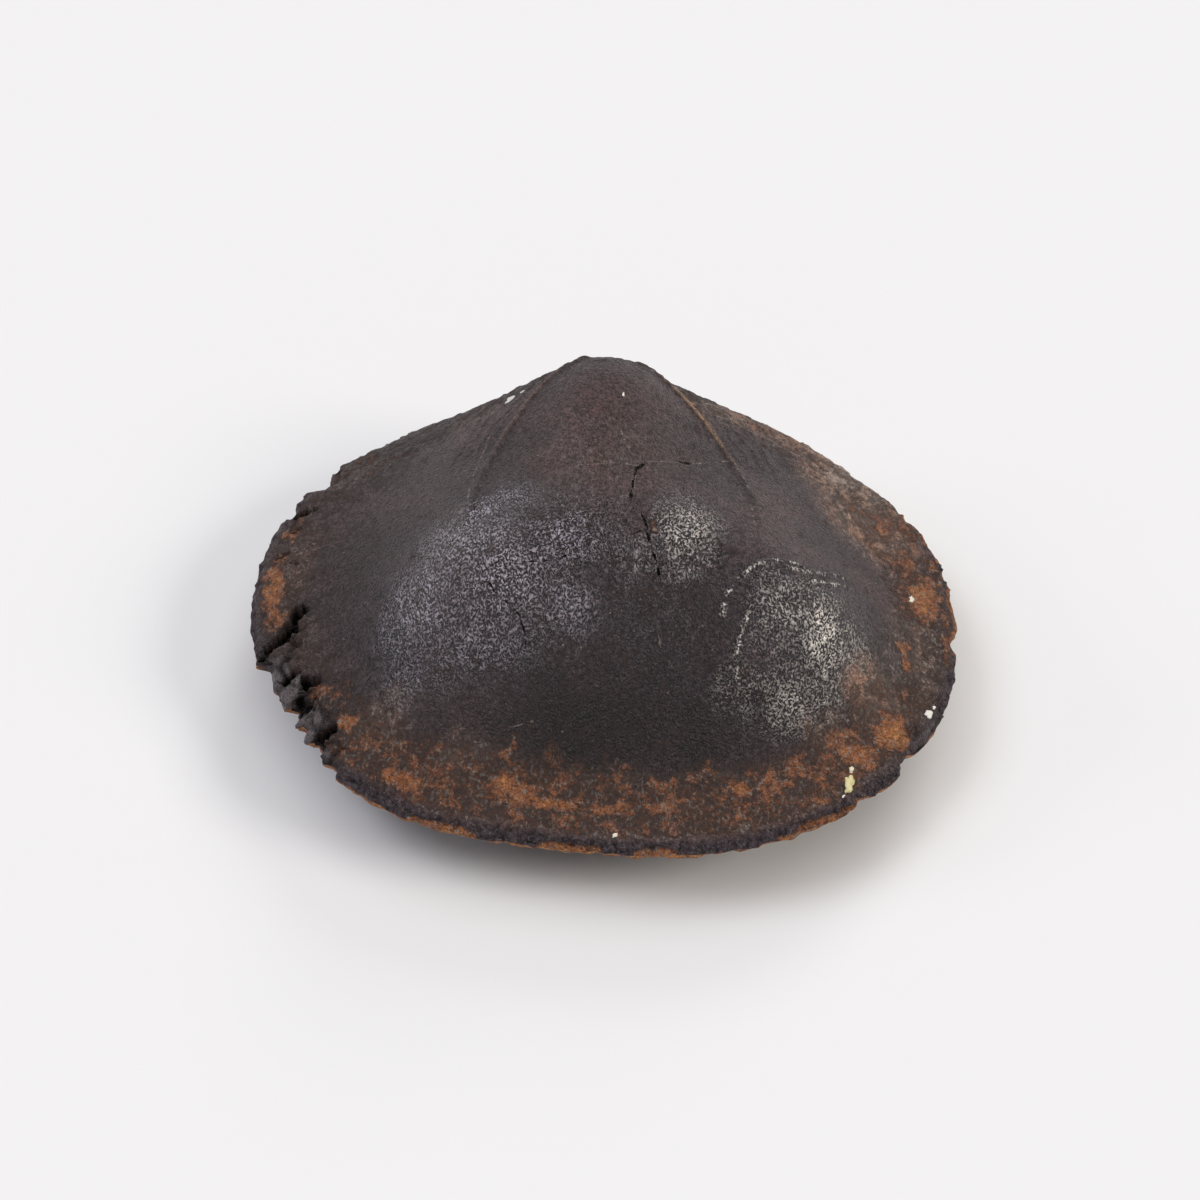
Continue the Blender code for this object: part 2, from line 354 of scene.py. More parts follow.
# Pits and crevices: centre, half-length, half-width, the bearing of the length, and depth.
PITS = (
    ((-16.55, -0.35), 0.52, 0.34, 20.0, 1.1),
    ((-17.00, -1.15), 0.85, 0.30, 50.0, 1.0),
    ((-17.75, -2.05), 0.85, 0.26, 42.0, 0.9),
    ((-18.30, -2.75), 0.45, 0.20, 40.0, 0.8),
    ((-15.65, -4.95), 0.55, 0.32, -10.0, 1.0),
    ((-16.95, -4.45), 0.60, 0.16, 30.0, 0.6),
    ((-16.60, -6.45), 1.10, 0.42, 8.0, 1.1),
    ((-14.95, -8.30), 0.62, 0.24, 20.0, 0.9),
    ((-14.30, -7.95), 0.22, 0.20, 80.0, 0.6),
    ((-16.75, 7.00), 0.75, 0.13, 5.0, 0.5),
    ((-17.80, 3.85), 0.45, 0.10, 15.0, 0.35),
    ((-17.05, 3.10), 0.40, 0.10, -30.0, 0.35),
    ((-15.90, 9.85), 0.55, 0.22, 20.0, 0.5),
    ((-15.10, 10.20), 0.35, 0.16, -20.0, 0.4),
    ((-17.10, 5.60), 0.35, 0.09, 10.0, 0.3),
)
PIT_SQUARENESS, PIT_RAGGED, PIT_RAGGED_SIZE, PIT_WALL = 3, 0.45, 0.45, (0.8, 1.15)

# Broken ground round the pits, as centre, half-widths and amount, and the blocks it is made of.
BROKEN = (
    (-17.4, -4.0, 1.0, 1.3, 1.0), (-16.6, -5.9, 1.2, 1.3, 1.0), (-15.6, -7.9, 1.2, 1.4, 1.0),
    (-14.7, -9.3, 1.0, 0.9, 0.9), (-17.0, -2.2, 0.8, 1.0, 0.8), (-16.1, 9.6, 1.0, 0.9, 0.7),
    (16.7, -8.7, 0.9, 1.0, 0.6), (-17.2, 6.4, 0.8, 0.9, 0.4), (-18.0, -2.9, 0.8, 0.5, 0.7),
)
BLOCK_SIZE, BLOCK_HEIGHT, BLOCK_GAP_DEPTH = 1.0, 0.34, 0.30
BLOCK_LEAN, BLOCK_GAPS = 1.6, (0.03, 0.24)

# Wrinkles of the skin over the right lobe, as lines in plan.
WRINKLES = (
    ((6.2, -5.4), (6.4, -4.6), (6.9, -3.9), (7.7, -3.1), (8.4, -2.6), (9.3, -2.3), (10.6, -2.2)),
    ((9.6, -2.7), (10.6, -2.6), (11.7, -2.1), (12.9, -1.4)),
    ((10.9, -3.1), (12.0, -2.7), (13.0, -2.1)),
    ((7.1, -8.4), (6.9, -7.2), (7.3, -5.9), (7.8, -5.0)),
)
WRINKLE_HEIGHT, WRINKLE_SPREAD, WRINKLE_REACH = 0.12, 0.11, 0.7
# The wrinkles' polish also paints highlights along them.
WRINKLE_POLISH_AND_HIGHLIGHT, WRINKLE_POLISH_AND_HIGHLIGHT_SPREAD = 1.4, 0.12

# Hairline cracks of the dome, and the lengths of them that gape, in the same way.
CRACKS = (
    ((1.8, 3.7), (1.6, 2.4), (1.5, 1.3), (1.9, 0.6), (2.1, -0.2),
     (2.3, -0.8), (2.5, -1.9), (2.7, -2.6), (2.9, -3.3)),
    ((2.25, -0.9), (1.2, -1.4)),
    ((-6.4, -3.5), (-5.4, -2.8), (-4.4, -3.0), (-3.3, -3.1), (-2.4, -2.9), (-1.5, -2.4)),
    ((-6.6, -2.7), (-5.7, -4.5), (-4.9, -5.2), (-4.3, -5.7), (-4.1, -6.3), (-4.0, -6.9)),
)
GAPES = (
    ((2.15, 3.85), (1.82, 3.45), (1.72, 2.95)), ((1.63, 2.45), (1.57, 2.05)),
    ((1.50, 1.40), (1.50, 1.22)), ((2.10, -0.10), (2.30, -0.70)), ((2.36, -1.25), (2.42, -1.50)),
    ((4.20, 5.05), (4.65, 5.15)), ((2.64, -2.45), (2.70, -2.60)), ((2.88, -3.20), (2.92, -3.36)),
)
GAPES_START = 100.0  # distances along the gaping lengths start here, to tell them apart
CRACK_DEPTH, CRACK_SPREAD, CRACK_REACH, GAPE_REACH = 0.05, 0.09, 0.6, 0.35

# Pale hairlines where the edges of the outer layer lift, in the same way.
PALE_LINES = (
    ((0.95, 6.1), (1.15, 5.4), (1.45, 4.7)),
    ((1.78, 3.2), (1.70, 2.5), (1.66, 1.7)),
    ((-1.7, 3.6), (-0.2, 3.6), (1.7, 3.7)),
    ((2.3, 4.1), (4.0, 4.9)),
    ((4.9, 5.2), (6.7, 6.5)),
    ((-4.6, -9.75), (-3.4, -9.6)),
    ((-6.3, 8.2), (-6.5, 7.2), (-6.8, 5.8), (-7.0, 4.6)),
    ((-7.1, 3.6), (-7.2, 2.2), (-7.9, 0.8)),
    ((7.2, 6.5), (7.6, 5.2), (7.9, 3.9)),
    ((8.0, 2.0), (8.1, 0.2)),
    ((2.95, -6.45), (3.0, -6.8)),
)
PALE_REACH = 0.6

# Rust: soft patches of it, as centre, half-widths and amount.
RUST = (
    (-18.1, 1.9, 0.8, 2.2, 0.95), (-17.9, -0.4, 1.0, 1.2, 0.8), (-17.3, 5.2, 0.7, 0.9, 0.8),
    (-16.6, 6.6, 0.5, 0.8, 0.6), (-15.2, -5.9, 0.7, 0.8, 0.8), (-13.6, -8.2, 0.6, 0.7, 0.85),
    (-14.3, -6.7, 1.2, 1.6, 0.45), (-12.6, -9.6, 1.6, 1.3, 0.6), (-10.6, -11.6, 1.7, 0.9, 0.85),
    (-8.6, -12.0, 1.2, 0.8, 0.7), (-7.6, -10.7, 1.8, 1.0, 0.45), (-4.9, -10.8, 0.5, 0.8, 0.75),
    (-4.6, -12.3, 1.9, 0.9, 0.95), (-2.6, -12.9, 1.6, 0.6, 0.9), (-2.4, -11.3, 0.7, 0.9, 0.6),
    (-0.4, -12.2, 1.8, 1.1, 0.5), (0.6, -13.2, 1.5, 0.6, 0.75), (0.8, -11.6, 0.7, 0.7, 0.5),
    (3.0, -12.4, 1.6, 0.9, 0.6), (3.2, -13.3, 1.2, 0.5, 0.7), (5.4, -11.6, 0.8, 0.8, 0.6),
    (7.2, -12.4, 1.3, 0.7, 0.9), (8.9, -12.1, 1.0, 0.9, 0.9), (10.8, -11.2, 1.4, 1.0, 0.7),
    (13.2, -9.6, 1.8, 1.0, 0.9), (15.4, -8.4, 1.3, 0.9, 1.0), (16.4, -6.0, 0.7, 1.2, 0.55),
    (16.3, -4.0, 0.5, 0.9, 0.85), (17.6, 0.4, 1.5, 1.8, 0.95), (16.6, 3.0, 1.1, 1.6, 0.7),
    (15.8, 5.6, 1.1, 1.4, 0.6), (18.9, -2.6, 0.6, 1.6, 0.7),
    (18.6, 2.6, 0.8, 1.6, 0.75), (17.2, 6.0, 0.9, 1.6, 0.6), (16.4, 8.2, 0.9, 1.2, 0.4),
    (17.0, 3.8, 0.6, 0.9, 0.3), (-13.5, 10.8, 1.6, 1.2, 0.4),
    (2.65, -1.2, 0.3, 0.5, 0.8), (-12.0, 8.5, 2.2, 1.4, 0.25), (14.5, 6.0, 2.0, 2.5, 0.35),
)
# Polished, crinkled skin, in the same way; it also places the highlights painted on its crests
# and the shade painted in the valleys between them.
POLISH_AND_HIGHLIGHT = (
    (-7.0, -1.2, 3.9, 3.2, 1.0), (-5.2, -3.6, 3.6, 3.4, 1.05), (-9.6, -3.8, 2.8, 3.4, 1.05),
    (-5.2, 1.8, 2.8, 1.8, 0.8), (-1.8, -1.5, 3.8, 2.8, 0.9), (-6.4, -6.6, 4.4, 2.0, 0.8),
    (1.8, -2.4, 2.8, 2.2, 0.7), (-10.6, -6.8, 2.2, 1.8, 0.75), (4.3, -0.9, 2.3, 3.0, 1.25),
    (11.4, -5.5, 2.0, 2.5, 1.55), (9.6, -8.5, 2.4, 1.6, 1.1), (11.8, -8.0, 2.0, 1.6, 1.0),
    (9.6, -5.0, 2.8, 2.8, 1.0), (13.2, -5.8, 1.5, 2.6, 0.9), (7.2, -8.0, 1.8, 2.2, 0.75),
    (-2.0, -5.0, 2.4, 2.4, 0.85), (2.8, -5.6, 5.0, 3.4, 0.42), (-1.4, 0.8, 4.0, 2.0, 0.55),
    (-6.4, 0.8, 1.3, 1.1, 1.2),
)
# Thin tan film of clay, strongest down the right flank, in the same way. Where its amount passes
# about 0.9, mostly high on the right flank, it also paints a pale grey sheen.
FILM_AND_SHEEN = (
    (10.8, 11.4, 3.0, 1.6, 1.15), (13.8, 8.9, 2.7, 2.7, 1.6), (14.8, 6.0, 2.5, 3.0, 1.5),
    (16.0, 4.4, 1.9, 2.6, 1.3), (17.2, 1.0, 1.3, 2.6, 0.95), (16.8, -3.0, 1.3, 2.4, 0.6),
    (14.6, -7.2, 1.9, 1.7, 1.15), (12.6, -9.6, 2.2, 1.2, 0.9),
    (-17.0, 3.0, 1.7, 3.4, 0.5), (-14.0, 9.4, 2.6, 1.6, 0.35), (7.8, 11.8, 2.3, 1.5, 1.0),
    (-7.4, 11.0, 2.4, 1.4, 0.3), (-12.0, -8.8, 2.2, 1.8, 0.7), (-8.0, -10.8, 2.4, 1.2, 0.75),
    (-16.4, -2.4, 1.4, 2.4, 0.35), (0.0, 4.6, 4.6, 5.0, 0.3),
)
# Painted shade: dark patches, mostly on the steep front, in the same way.
PAINTED_SHADE_PATCHES = (
    (-0.4, -9.6, 7.0, 3.4, 1.0), (3.0, -6.6, 3.4, 4.0, 0.8), (-7.0, -9.0, 4.0, 2.4, 0.55),
    (5.6, -9.4, 3.0, 3.0, 0.9), (2.0, -3.6, 3.0, 2.2, 0.35), (-12.4, 1.0, 2.8, 5.0, 0.35),
)

# Outer layer: it has flaked off inside an arch, open to the front, and thins out away from it.
ARCH_CENTRE, ARCH_HALF_WIDTH, ARCH_LENGTH, ARCH_POWER = (0.6, 1.0), 7.6, 12.0, 1.7
LAYER_THICKNESS, LAYER_FADE = 0.14, 3.0
LAYER_BEGINS, LAYER_EDGE = (-3.0, 3.0), (-0.06, 0.14)
# Thin sheets that peel behind its edge: how far outside the arch each ends, and its thickness.
SHEETS = ((0.75, 0.05), (1.2, 0.06), (1.75, 0.05), (2.3, 0.05))
SHEET_WANDER, SHEET_EDGE = 0.35, 0.07
PEELING_BEGINS, PEELING_EDGE = (4.5, 7.5), (0.2, 0.5)
ARCH_WANDER = 0.10


def arch_offset(x, y):
    """Distance in mm from the arch where the outer layer ends; negative inside it."""
    u, v = np.abs(x - ARCH_CENTRE[0]) / ARCH_HALF_WIDTH, (y - ARCH_CENTRE[1]) / ARCH_LENGTH
    out = (u**ARCH_POWER + np.maximum(v, 0) ** ARCH_POWER) ** (1 / ARCH_POWER)
    return (out - 1) * ARCH_HALF_WIDTH


def flaked_layer(x, y, ragged):
    """The outer layer left outside the arch, with a few thinner sheets peeling behind its edge."""
    outside = arch_offset(x, y) + ARCH_WANDER * ragged
    kept = smooth_step(y, *LAYER_BEGINS)
    fade = np.exp(-np.maximum(outside, 0) / LAYER_FADE) * kept
    sheets = 0.0
    for edge, thickness in SHEETS:
        ends = edge + SHEET_WANDER * ragged
        beyond = smooth_step(outside, ends - SHEET_EDGE, ends + SHEET_EDGE)
        sheets = sheets + thickness * (beyond - 1)
    peeling = smooth_step(y, *PEELING_BEGINS) * smooth_step(outside, *PEELING_EDGE)
    return LAYER_THICKNESS * fade * smooth_step(outside, *LAYER_EDGE) + sheets * peeling


def pit_depth(x, y, ragged):
    """Depth below the surface, in mm, of the pits and crevices, with ragged walls."""
    depth = np.zeros(len(x))
    for (across, along), half_length, half_width, turn, deep in PITS:
        ux, uy = math.cos(math.radians(turn)), math.sin(math.radians(turn))
        lengthwise = ((x - across) * ux + (y - along) * uy) / half_length
        sideways = ((y - along) * ux - (x - across) * uy) / half_width
        out = np.abs(lengthwise) ** PIT_SQUARENESS + np.abs(sideways) ** PIT_SQUARENESS
        out = out ** (1 / PIT_SQUARENESS) + PIT_RAGGED * ragged
        depth = np.maximum(depth, deep * (1 - smooth_step(out, *PIT_WALL)))
    return depth


noise.seed_set(1)  # without a seed, noise_vector gives other blocks on every run


def broken_relief(points, size, where):
    """Angular blocks of about this size in mm, each with its own flat, leaning top.

    Gives back the height of the tops, about -1 to 1, and a mark that is 1 in the gaps.
    """
    heights, gaps = np.zeros(len(points)), np.zeros(len(points))
    for index in np.flatnonzero(where > 0.01):
        at = Vector(points[index]) / size
        distances, centres = noise.voronoi(at)
        lean = noise.noise_vector(7.3 * centres[0])
        slope = (at - centres[0]).dot(Vector((lean.x, lean.y, 0.0)))
        heights[index] = lean.z + BLOCK_LEAN * slope
        gaps[index] = distances[1] - distances[0]
    return heights, (1 - smooth_step(gaps, *BLOCK_GAPS)) * (where > 0.01)


def cut_faces(points):
    """Presses whatever stands beyond a broken face onto it; marks those points."""
    fresh = np.zeros(len(points))
    for place, (bearing, elevation), half_width in FACES:
        b, e = math.radians(bearing), math.radians(elevation)
        facing = np.array((math.cos(e) * math.cos(b), math.cos(e) * math.sin(b), math.sin(e)))
        sideways = np.array((-math.sin(b), math.cos(b), 0.0))
        away = points - np.array(place)
        beyond = away @ facing
        inside = np.abs(away @ sideways) < half_width
        cut = inside & (beyond > 0) & (np.linalg.norm(away, axis=1) < FACE_REACH)
        points = points - np.where(cut, beyond, 0)[:, None] * facing
        fresh = np.where(cut, 1.0, fresh)
    return points, fresh


def ledge_width(bearing, ragged):
    width = np.zeros(len(bearing))
    for centre, half_width, reach in LEDGES:
        away = np.abs(degrees_apart(bearing, centre)) / half_width
        taper = np.clip(LEDGE_ENDS * (1 - away), 0, 1) ** LEDGE_ROUNDING
        width = np.maximum(width, reach * taper)
    return width * np.clip(1.0 + LEDGE_RAGGED * ragged, *LEDGE_LIMITS)


def finished(shape, marks, name):
    """Makes the mesh from the shape, with each mark as a value on its vertices."""
    mesh = bpy.data.meshes.new(name)
    bmesh.ops.triangulate(shape, faces=shape.faces[:])
    shape.to_mesh(mesh)
    shape.free()
    for label, values in marks.items():
        layer = mesh.attributes.new(label, "FLOAT", "POINT")
        layer.data.foreach_set("value", np.asarray(values, dtype=np.float32))
    mesh.shade_smooth()
    made = bpy.data.objects.new(name, mesh)
    bpy.context.scene.collection.objects.link(made)
    return made


LOWEST, HIGHEST = (np.array(corner) / MM for corner in cad_box)
SET_BACK = 0.42  # how far the frame's middle lies ahead of the plan's, because the back curls in


def place(shape, points):
    """Sets the vertices in metres, kept inside the frame's own box."""
    framed = points + np.array((0.0, SET_BACK, 0.0))
    for vertex, point in zip(shape.verts, np.clip(framed, LOWEST, HIGHEST)):
        vertex.co = Vector(point) * MM


# Unevenness of the shell comes in three sizes. Heights are in mm.
COARSE_SIZE, MIDDLING_SIZE, FINE_SIZE = 2.6, 0.9, 0.4
SHELL_RELIEF = (0.05, 0.012)  # coarse and middling
CRUST_RELIEF = (0.16, 0.10, 0.14, 0.10)  # middling, fine, lumps, and the gaps between lumps
BRIM_RELIEF = (0.05, 0.035, 0.05)  # middling, fine and lumps
LUMP_SIZE = 0.55
# Crust: width all round, what the front adds to it, how uneven it is, and its soft edge.
CRUST_WIDTH, CRUST_FRONT, CRUST_UNEVEN, CRUST_EDGE = 0.25, 0.55, 0.45, (-0.2, 0.3)
CRUST_FRONT_BEGINS, FRONT_BEGINS = (8.5, 11.5), (5.0, 10.0)
BRIM_FROM, BRIM_TO = (0.2, 1.0), (3.0, 5.0)  # insets where the brim's band starts and stops
UMBO_CENTRE, UMBO_SPREAD, UMBO_LENGTHENED = (0.3, 11.6), 2.2, 0.8
UMBO_SWELL = 0.5  # how far the worn tip of the beak stands above the even dome
MARGIN_LEVEL = 0.012  # below this level the relief dies away, so that the two valves meet
RUST_ALL_ROUND, RUST_IN_FRONT, RUST_UNDER_CRUST, RUST_ON_LEDGE = 0.2, 0.3, 0.25, 0.85
FILM_ON_BRIM, DUSTY_LEFT, DUSTY_RIGHT = 0.5, (-15.0, -7.0), (11.0, 15.0)
RUST_WANDER, POLISH_AND_HIGHLIGHT_WANDER, FILM_AND_SHEEN_WANDER = 0.7, 0.6, 0.5  # how far the patches' edges wander
CRACK_WANDER, HAIRLINE_WANDER = 0.06, 0.05
PIT_FROM_EDGE, PIT_ABOVE_MARGIN = 0.25, -0.1  # pits end this far inside, and at this height
# Pits and the gaps between blocks are painted black as shade.
PIT_NOT_FRESH, PIT_BLACK_FROM, GAP_SHADE = (0.05, 0.2), (0.1, 0.4), 0.9
FRESH_FLATTENED = 0.7  # share of the relief that a broken face lacks
RAGGED_MIDDLING = 0.6  # share of the middling unevenness in the ragged edges of the layer


def upper_valve():
    shape, directions = half_ball(True)
    shell = Shell(directions, upper_height)
    points = shell.points.copy()
    points[:, :2] -= MIDDLE
    x, y, inset = points[:, 0], points[:, 1], shell.inset
    coarse = noise_at(points, COARSE_SIZE, 3, 1.0)
    middling = noise_at(points, MIDDLING_SIZE, 4, 2.0)
    fine = noise_at(points, FINE_SIZE, 3, 5.0)

    front = smooth_step(-y, *FRONT_BEGINS)
    crust_width = CRUST_WIDTH + CRUST_FRONT * smooth_step(-y, *CRUST_FRONT_BEGINS)
    crust_width = crust_width + CRUST_UNEVEN * middling
    crust = 1 - smooth_step(inset - crust_width, *CRUST_EDGE)
    band = smooth_step(inset, *BRIM_FROM) * (1 - smooth_step(inset, *BRIM_TO))
    rust = patches(x + RUST_WANDER * middling, y + RUST_WANDER * coarse, RUST)
    rust = np.maximum(rust, band * (RUST_ALL_ROUND + RUST_IN_FRONT * front))
    polish_and_highlight = patches(x + POLISH_AND_HIGHLIGHT_WANDER * coarse, y + POLISH_AND_HIGHLIGHT_WANDER * middling, POLISH_AND_HIGHLIGHT, 1.0)
    dusty = np.maximum(front * smooth_step(x, *DUSTY_LEFT), smooth_step(x, *DUSTY_RIGHT))
    film_and_sheen = patches(x + FILM_AND_SHEEN_WANDER * coarse, y + FILM_AND_SHEEN_WANDER * middling, FILM_AND_SHEEN)
    film_and_sheen = np.maximum(film_and_sheen, FILM_ON_BRIM * band * dusty)

    ledge = ledge_width(shell.bearing, middling)
    bare = 1 - smooth_step(inset - shell.cut - ledge, -LEDGE_EDGE, LEDGE_EDGE)
    bare = np.where(ledge > LEDGE_LEAST, bare, 0.0)
    points[:, 2] -= bare * (points[:, 2] - MARGIN_Z - LEDGE_HEIGHT) * shell.turned

    in_plan = np.column_stack((x, y, np.zeros(len(x))))
    pits = pit_depth(x, y, noise_at(in_plan, PIT_RAGGED_SIZE, 2, 21.0))
    pits = pits * smooth_step(inset - shell.cut, 0.0, PIT_FROM_EDGE)
    points, fresh = cut_faces(points)
    fresh = fresh * (1 - smooth_step(pits, *PIT_NOT_FRESH))
    pit_floor = MARGIN_Z + PIT_ABOVE_MARGIN
    points[:, 2] -= np.minimum(pits, np.maximum(points[:, 2] - pit_floor, 0))

    broken = patches(x, y, BROKEN)
    blocks, block_gaps = broken_relief(in_plan, BLOCK_SIZE, broken)
    lumps, lump_gaps = broken_relief(in_plan, LUMP_SIZE, np.maximum(crust, 0.6 * band))

    normals = normals_of(shape, points)
    wrinkle, wrinkle_along = line_offsets(x, y, WRINKLES, WRINKLE_REACH)
    crack, crack_along = line_offsets(
        x + CRACK_WANDER * fine, y + CRACK_WANDER * middling, CRACKS, CRACK_REACH
    )
    to_side = x + HAIRLINE_WANDER * fine
    gape, gape_along = line_offsets(to_side, y, GAPES, GAPE_REACH, GAPES_START)
    crack = np.where(gape_along > 0, gape, crack)
    crack_along = np.where(gape_along > 0, gape_along, crack_along)
    pale, pale_along = line_offsets(
        to_side, y + HAIRLINE_WANDER * middling, PALE_LINES, PALE_REACH
    )

    ragged = coarse + RAGGED_MIDDLING * middling
    raised = np.dot(SHELL_RELIEF, (coarse, middling))
    raised = raised + crust * np.dot(CRUST_RELIEF, (middling, fine, lumps, -lump_gaps))
    raised = raised + band * (1 - crust) * np.dot(BRIM_RELIEF, (middling, fine, lumps))
    rubble = BLOCK_HEIGHT * blocks - BLOCK_GAP_DEPTH * block_gaps
    raised = raised + broken * rubble * (1 - fresh)
    raised = raised + flaked_layer(x, y, ragged)
    from_umbo = np.hypot(x - UMBO_CENTRE[0], UMBO_LENGTHENED * (y - UMBO_CENTRE[1]))
    raised = raised + UMBO_SWELL * bell(from_umbo, UMBO_SPREAD)
    on_wrinkle, on_crack = wrinkle_along >= 0, crack_along >= 0
    raised = raised + on_wrinkle * WRINKLE_HEIGHT * bell(wrinkle, WRINKLE_SPREAD)
    raised = raised - on_crack * CRACK_DEPTH * bell(crack, CRACK_SPREAD)
    raised = raised * (1 - FRESH_FLATTENED * fresh)
    raised = raised * smooth_step(shell.level, 0.0, MARGIN_LEVEL)
    points = points + normals * raised[:, None]
    rust_kept = 1 - (1 - RUST_UNDER_CRUST) * crust
    highlit_wrinkle = WRINKLE_POLISH_AND_HIGHLIGHT * bell(wrinkle, WRINKLE_POLISH_AND_HIGHLIGHT_SPREAD) * (fine > -0.2)

    place(shape, points)
    marks = {
        "rust": np.maximum(rust * rust_kept, RUST_ON_LEDGE * bare) * (1 - fresh),
        "crust": np.maximum(crust * (1 - bare), 0.0),
        "polish_and_highlight": np.maximum(polish_and_highlight, on_wrinkle * highlit_wrinkle),
        "fresh": fresh,
        "pit_shade": np.maximum(smooth_step(pits, *PIT_BLACK_FROM), GAP_SHADE * broken * block_gaps),
        "arch": arch_offset(x, y) + ARCH_WANDER * ragged,
        "painted_shade": patches(x + coarse, y + coarse, PAINTED_SHADE_PATCHES),
        "film_and_sheen": film_and_sheen,
        "crack": crack,
        "crack_along": crack_along,
        "pale": pale,
        "pale_along": pale_along,
    }
    return finished(shape, marks, "upper_valve")


def hex_colour(value):
    """A colour as Blender's shaders take it, from its sRGB hex value."""
    parts = [int(value[i : i + 2], 16) / 255 for i in (0, 2, 4)]
    return tuple(p / 12.92 if p < 0.04045 else ((p + 0.055) / 1.055) ** 2.4 for p in parts) + (1.0,)


def add(tree, kind, feeds, **settings):
    """Adds a node with its settings; feeds gives its inputs values or other nodes' outputs."""
    made = tree.nodes.new("ShaderNode" + kind)
    for setting, value in settings.items():
        setattr(made, setting, value)
    for socket, feed in feeds.items():
        if isinstance(feed, bpy.types.NodeSocket):
            tree.links.new(feed, made.inputs[socket])
        else:
            made.inputs[socket].default_value = feed
    return made.outputs


# Ironstone: iron oxide and clay that took the shell's place. It is nearly black, with a brown to
# lilac cast, the lilac partly painted sheen, satin where it is polished, and crinkled there like
# fine leather, with highlights painted on its crests and shade painted between them. Rust turns it
# dull orange brown, clay leaves a tan film with a pale grey painted sheen where it is thickest,
# broken faces are smooth and dark grey, and pits, block gaps and cracks are painted black as
# shade, as is the darker steep front. A trace of dust on it is the shader's only sheen.
# The lilac is partly painted sheen round the polished lobes.
CHARCOAL, BROWN, LILAC_SHEEN = "3e3234", "4c393b", "453c45"
# Painted shade of the steep front.
PAINTED_SHADE = "1c1213"
# The film's grey is partly painted sheen where the film is thickest.
FILM_TAN, FILM_GREY_AND_SHEEN = "a47458", "8f857e"
RUST_DARK, RUST_MIDDLE, RUST_BRIGHT = "5c4138", "965f3e", "c4854b"
# The black is painted shade in pits, in the gaps between blocks, and in cracks.
CRUST_GREY, FRESH_GREY, SHADE_BLACK = "463b41", "5a5052", "050404"
# Painted highlights of the polished crests, lilac on the left lobe and grey on the right.
CREST_HIGHLIGHT_LILAC, CREST_HIGHLIGHT_GREY = "7b777e", "827e76"
LAYER_TAN, CRACK_PALE, SCALE_PALE = "8f6d50", "a89c90", "a0978f"
# Feature sizes, half-widths and heights are in mm; a line's breaks are in each mm of it.
CRINKLE_SIZE, GRAIN_SIZE, MOTTLE_SIZE, CLOUD_SIZE = 0.095, 0.22, 1.6, 5.0
CRINKLE_WARP_SIZE, CRINKLE_WARP, CRINKLE_STRETCH = 0.5, 0.35, (1.0, 0.62, 0.8)
CRUMB_SIZE, SPECK_SIZE, SCALE_SIZE, GRIT_SIZE = 0.24, 0.8, 0.17, 0.34
DUST_SPACING, DUST_RADIUS, DUST_AMOUNT = 0.8, 0.056, 0.45  # larger than real dust, so it shows
CRACK_BREAKS, CRACK_HALF_WIDTH, GAPE_HALF_WIDTH = 1.6, 0.045, 0.065
PALE_BREAKS, PALE_HALF_WIDTH, PALE_AMOUNT = 2.3, 0.06, 0.4
CRINKLE_HEIGHT, GRIT_HEIGHT, GRIT_LEAST = 0.30, 0.60, 0.12
BARE_ROUGH, SATIN_ROUGH, RUST_ROUGH, FRESH_ROUGH = 0.52, 0.20, 0.72, 0.42
RUST_SHINE, POLISHED_CRINKLE = 0.4, 0.55  # what is left of the shine, and of the crinkles' height
STONE_IOR, DUST_SHEEN, DUST_SHEEN_ROUGH, DUST_SHEEN_TINT = 1.5, 0.06, 0.35, "fff4ea"


